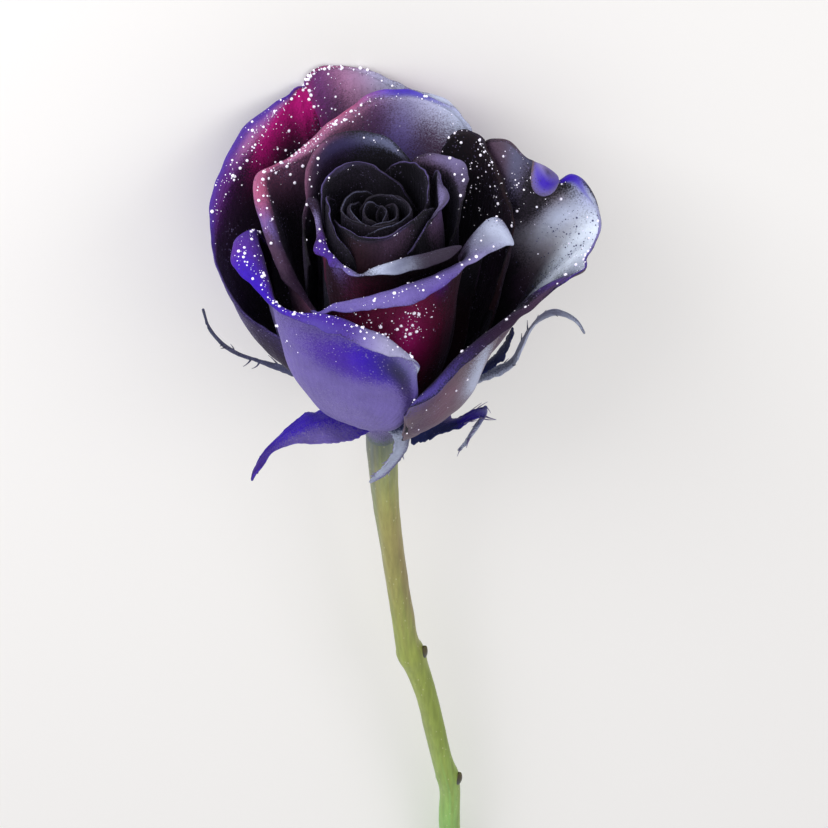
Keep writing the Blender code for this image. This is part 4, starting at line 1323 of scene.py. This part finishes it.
bark = stem_material("green_rose_bark")
finish_piece(stem, bark, "stem")

# %% [markdown]
# ## Buds in the joints
#
# Each joint holds a dormant bud, a plump point five millimetres long. It is green where it leaves the stem,
# dried brown at its tip, and caught a little of the blue spray. A turned outline set at an angle to the stem
# makes it.

# %% Buds
BUD_RISE = math.radians(64)
BUD_BELOW = 3.5
BUD_LENGTH = 5
BUD_SIDES = 16
# How far out along the bud, and its radius there
BUD_OUTLINE = [(0.2, 0.7), (1.2, 1.2), (2.4, 1.4), (3.4, 1.25), (4.2, 0.85), (4.8, 0.45), (5.2, 0.15)]

for k, (height, azimuth) in enumerate(JOINTS):
    start = line[np.abs(line[:, 2] - height + BUD_BELOW).argmin(), :3]
    outward = round_the_axis(np.radians(azimuth), math.cos(BUD_RISE), math.sin(BUD_RISE))
    rings = np.array([(*(start + reach * outward), radius) for reach, radius in BUD_OUTLINE])
    bud = rolled_tube(f"bud_{k + 1}", tube_round(rings, BUD_SIDES))
    rounded(bud)
    out = (upright(points_of(bud)) - start) @ outward / BUD_LENGTH
    sprays = [(0, 90, 100, 45, "bark_brown", 90), (0, 60, 100, 20, "navy", 50)]
    paint(bud, airbrushed(0 * out, out, "moss", sprays, 64 + k))
    finish_piece(bud, bark, "stem")
print(len(JOINTS), "buds")

# %% [markdown]
# ## Glitter
#
# The last coat is glitter, shaken on while the dye is wet. It sticks where the spray was thickest: on the
# upper edges of the outer petals and over the dark petal at the right, and it thins towards the heart. Each
# speck is a tiny rounded crystal, a few tenths of a millimetre across, set just proud of the petal.

# %% Where the glitter lies
# Petal and face, then its patches: how many specks, and the middle and reach across and along, in percent
GLITTER = [
    ("petal_left", "in", [(60, 62, 14, 86, 6), (22, 67, 6, 88, 1), (60, 72, 12, 78, 12), (50, 84, 4, 90, 8),
        (24, 48, 8, 88, 8)]),
    ("petal_back", "in", [(110, 31, 6, 78, 14), (36, 38, 8, 86, 10), (14, 50, 10, 85, 8)]),
    ("petal_mauve", "in", [(70, 50, 12, 92, 5), (40, 42, 10, 86, 10), (24, 30, 8, 92, 8), (20, 64, 5, 84, 5),
        (20, 80, 10, 85, 10)]),
    ("petal_dark", "in", [(26, 30, 12, 84, 8), (44, 42, 16, 72, 10), (24, 30, 12, 62, 10)]),
    ("petal_right", "in", [(40, 22, 6, 72, 8), (34, 46, 3, 82, 7), (24, 38, 8, 72, 14), (8, 60, 10, 88, 5),
        (12, 80, 10, 84, 5)]),
    ("petal_right", "out", [(10, 82, 10, 60, 10)]),
    ("petal_front", "in", [(60, 24, 10, 92, 7), (46, 46, 12, 95, 5), (24, 62, 10, 92, 6)]),
    ("petal_front", "out", [(10, 50, 20, 66, 8)]),
    ("petal_crimson", "in", [(40, 40, 20, 93, 7)]),
    ("petal_crimson", "out", [(70, 46, 6, 62, 6), (50, 30, 8, 66, 6)]),
    ("petal_crimson", "in", [(8, 80, 8, 88, 10)]),
    ("petal_collar", "in", [(24, 40, 8, 92, 8)]),
    ("petal_collar", "out", [(14, 32, 6, 80, 10)]),
    ("petal_collar", "in", [(4, 58, 8, 90, 6)]),
    ("heart_back", "in", [(22, 30, 14, 88, 10), (5, 68, 6, 90, 4)]),
    ("heart_right", "in", [(12, 42, 14, 92, 6)]),
    ("heart_spear", "out", [(4, 40, 20, 84, 10)]),
    ("whorl_front", "out", [(5, 58, 4, 84, 4)]),
    ("whorl_left", "in", [(4, 40, 20, 85, 8)]),
]


# %% Places of specks
SPECK_LEAST = 0.07
SPECK_STANDS = 0.35
MOSTLY_SMALL = 4
SPREAD_ACROSS = 0.7
SPREAD_ALONG = 0.8
LOWEST = 0.2
HIGHEST = 0.965


def speck_places(patches, most, draw):
    """Centres, outward directions and radii of specks. One past the highest place is turned back there."""
    for name, face, group in patches:
        sheet = sheets[name]
        rows, columns = sheet.shape[:2]
        normals = normals_of(sheet) * (1 if face == "out" else -1)
        for count, *percents in group:
            middle, reach, height, rise = (value / 100 for value in percents)
            u = np.clip(draw.normal(middle, reach * SPREAD_ACROSS, count), 0.01, 0.99)
            v = draw.normal(height, rise * SPREAD_ALONG, count)
            v = np.maximum(HIGHEST - np.abs(HIGHEST - v), LOWEST)
            row = np.minimum((v * (rows - 1)).astype(int), rows - 2)
            column = np.minimum((u * (columns - 1)).astype(int), columns - 2)
            down, aside = (v * (rows - 1) - row)[:, None], (u * (columns - 1) - column)[:, None]
            here = (1 - aside) * sheet[row, column] + aside * sheet[row, column + 1]
            after = (1 - aside) * sheet[row + 1, column] + aside * sheet[row + 1, column + 1]
            place = (1 - down) * here + down * after
            radius = SPECK_LEAST + (most - SPECK_LEAST) * draw.uniform(0, 1, count) ** MOSTLY_SMALL
            up = normals[row, column]
            yield place + up * (BLADE / 2 + SPECK_STANDS * radius)[:, None], up, radius


# %% Specks and their material
SPECK_FLATNESS = 0.7


def specks(name, patches, most, seed):
    """One mesh of many small rounded grains, each half sunk in the face that it stuck to."""
    draw = np.random.default_rng(seed)
    select_only()
    bpy.ops.mesh.primitive_ico_sphere_add(subdivisions=1, radius=1)
    piece = bpy.context.object
    ball = np.array([tuple(v.co) for v in piece.data.vertices])
    ball_faces = [tuple(p.vertices) for p in piece.data.polygons]
    points, faces = [], []
    groups = zip(*speck_places(patches, most, draw))
    for place, up, radius in zip(*(np.concatenate(group) for group in groups)):
        side = unit(np.cross(up, draw.normal(0, 1, 3)))
        axes = np.stack([side, np.cross(up, side), SPECK_FLATNESS * up])
        faces += [tuple(i + len(points) * len(ball) for i in f) for f in ball_faces]
        points.append(place + radius * (ball @ axes))
    piece.name = name
    piece.data.clear_geometry()
    print(name, "has", len(points), "specks")
    points = laid_down(np.concatenate(points))
    points[:, 2] = np.maximum(points[:, 2], 0)
    piece.data.from_pydata(points.tolist(), [], faces)
    return piece


def speck_material(name, per_mm, tones, roughness, ior):
    """Tiny grains whose tone wanders between two from one to the next."""
    material, shader = new_material(name)
    where = add(material, "TexCoord")
    place = add(material, "Mapping", {0: where.outputs["Object"], "Scale": PER_MM})
    clouds = add(material, "TexNoise", {0: place, "Scale": per_mm, "Detail": 1})
    ends = {"Factor": clouds, 6: opaque(tones[0]), 7: opaque(tones[1])}
    tint = add(material, "Mix", ends, data_type="RGBA")
    feed(shader, {"Base Color": tint, "Roughness": roughness, "IOR": ior})
    return material, shader, tint


# %% Glitter
GLITTER_MOST = 0.36

# Mica coated for lustre: white to faint violet and smooth. Its emission is painted light: each flake glows as
# a point of light, even in the shade of the heart
mica, shader, tint = speck_material("pearl_glitter", 1.1, ("FFFFFF", "D9CFF4"), 0.25, 1.6)
feed(shader, {"Emission Color": tint, "Emission Strength": 0.35})
finish_piece(specks("glitter", GLITTER, GLITTER_MOST, 5), mica)

# %% [markdown]
# ## Dye spatter
#
# The airbrush also spat. Where the right petal is palest, fine dark droplets of dye have dried on it, and a
# few lie on the lip of the crimson petal. They are made as the glitter is, smaller and in dark blue.

# %% Dye spatter
SPATTER = [
    ("petal_right", "in", [(50, 36, 5, 68, 7), (60, 41, 6, 66, 12), (40, 36, 6, 54, 10)]),
    ("petal_crimson", "in", [(8, 86, 5, 90, 6)]),
]
SPATTER_MOST = 0.2

# Dried dye has a skin with a dull gloss
dye, _, _ = speck_material("dried_dye_spatter", 0.9, ("1A1C40", "45487E"), 0.45, 1.5)
finish_piece(specks("dye_spatter", SPATTER, SPATTER_MOST, 6), dye)

# %% [markdown]
# ## Count of triangles
#
# The triangles of all the pieces made here are counted.

# %% Count of triangles
bpy.context.view_layer.update()
print("triangles", sum(len(p.vertices) - 2 for obj in made for p in obj.data.polygons))
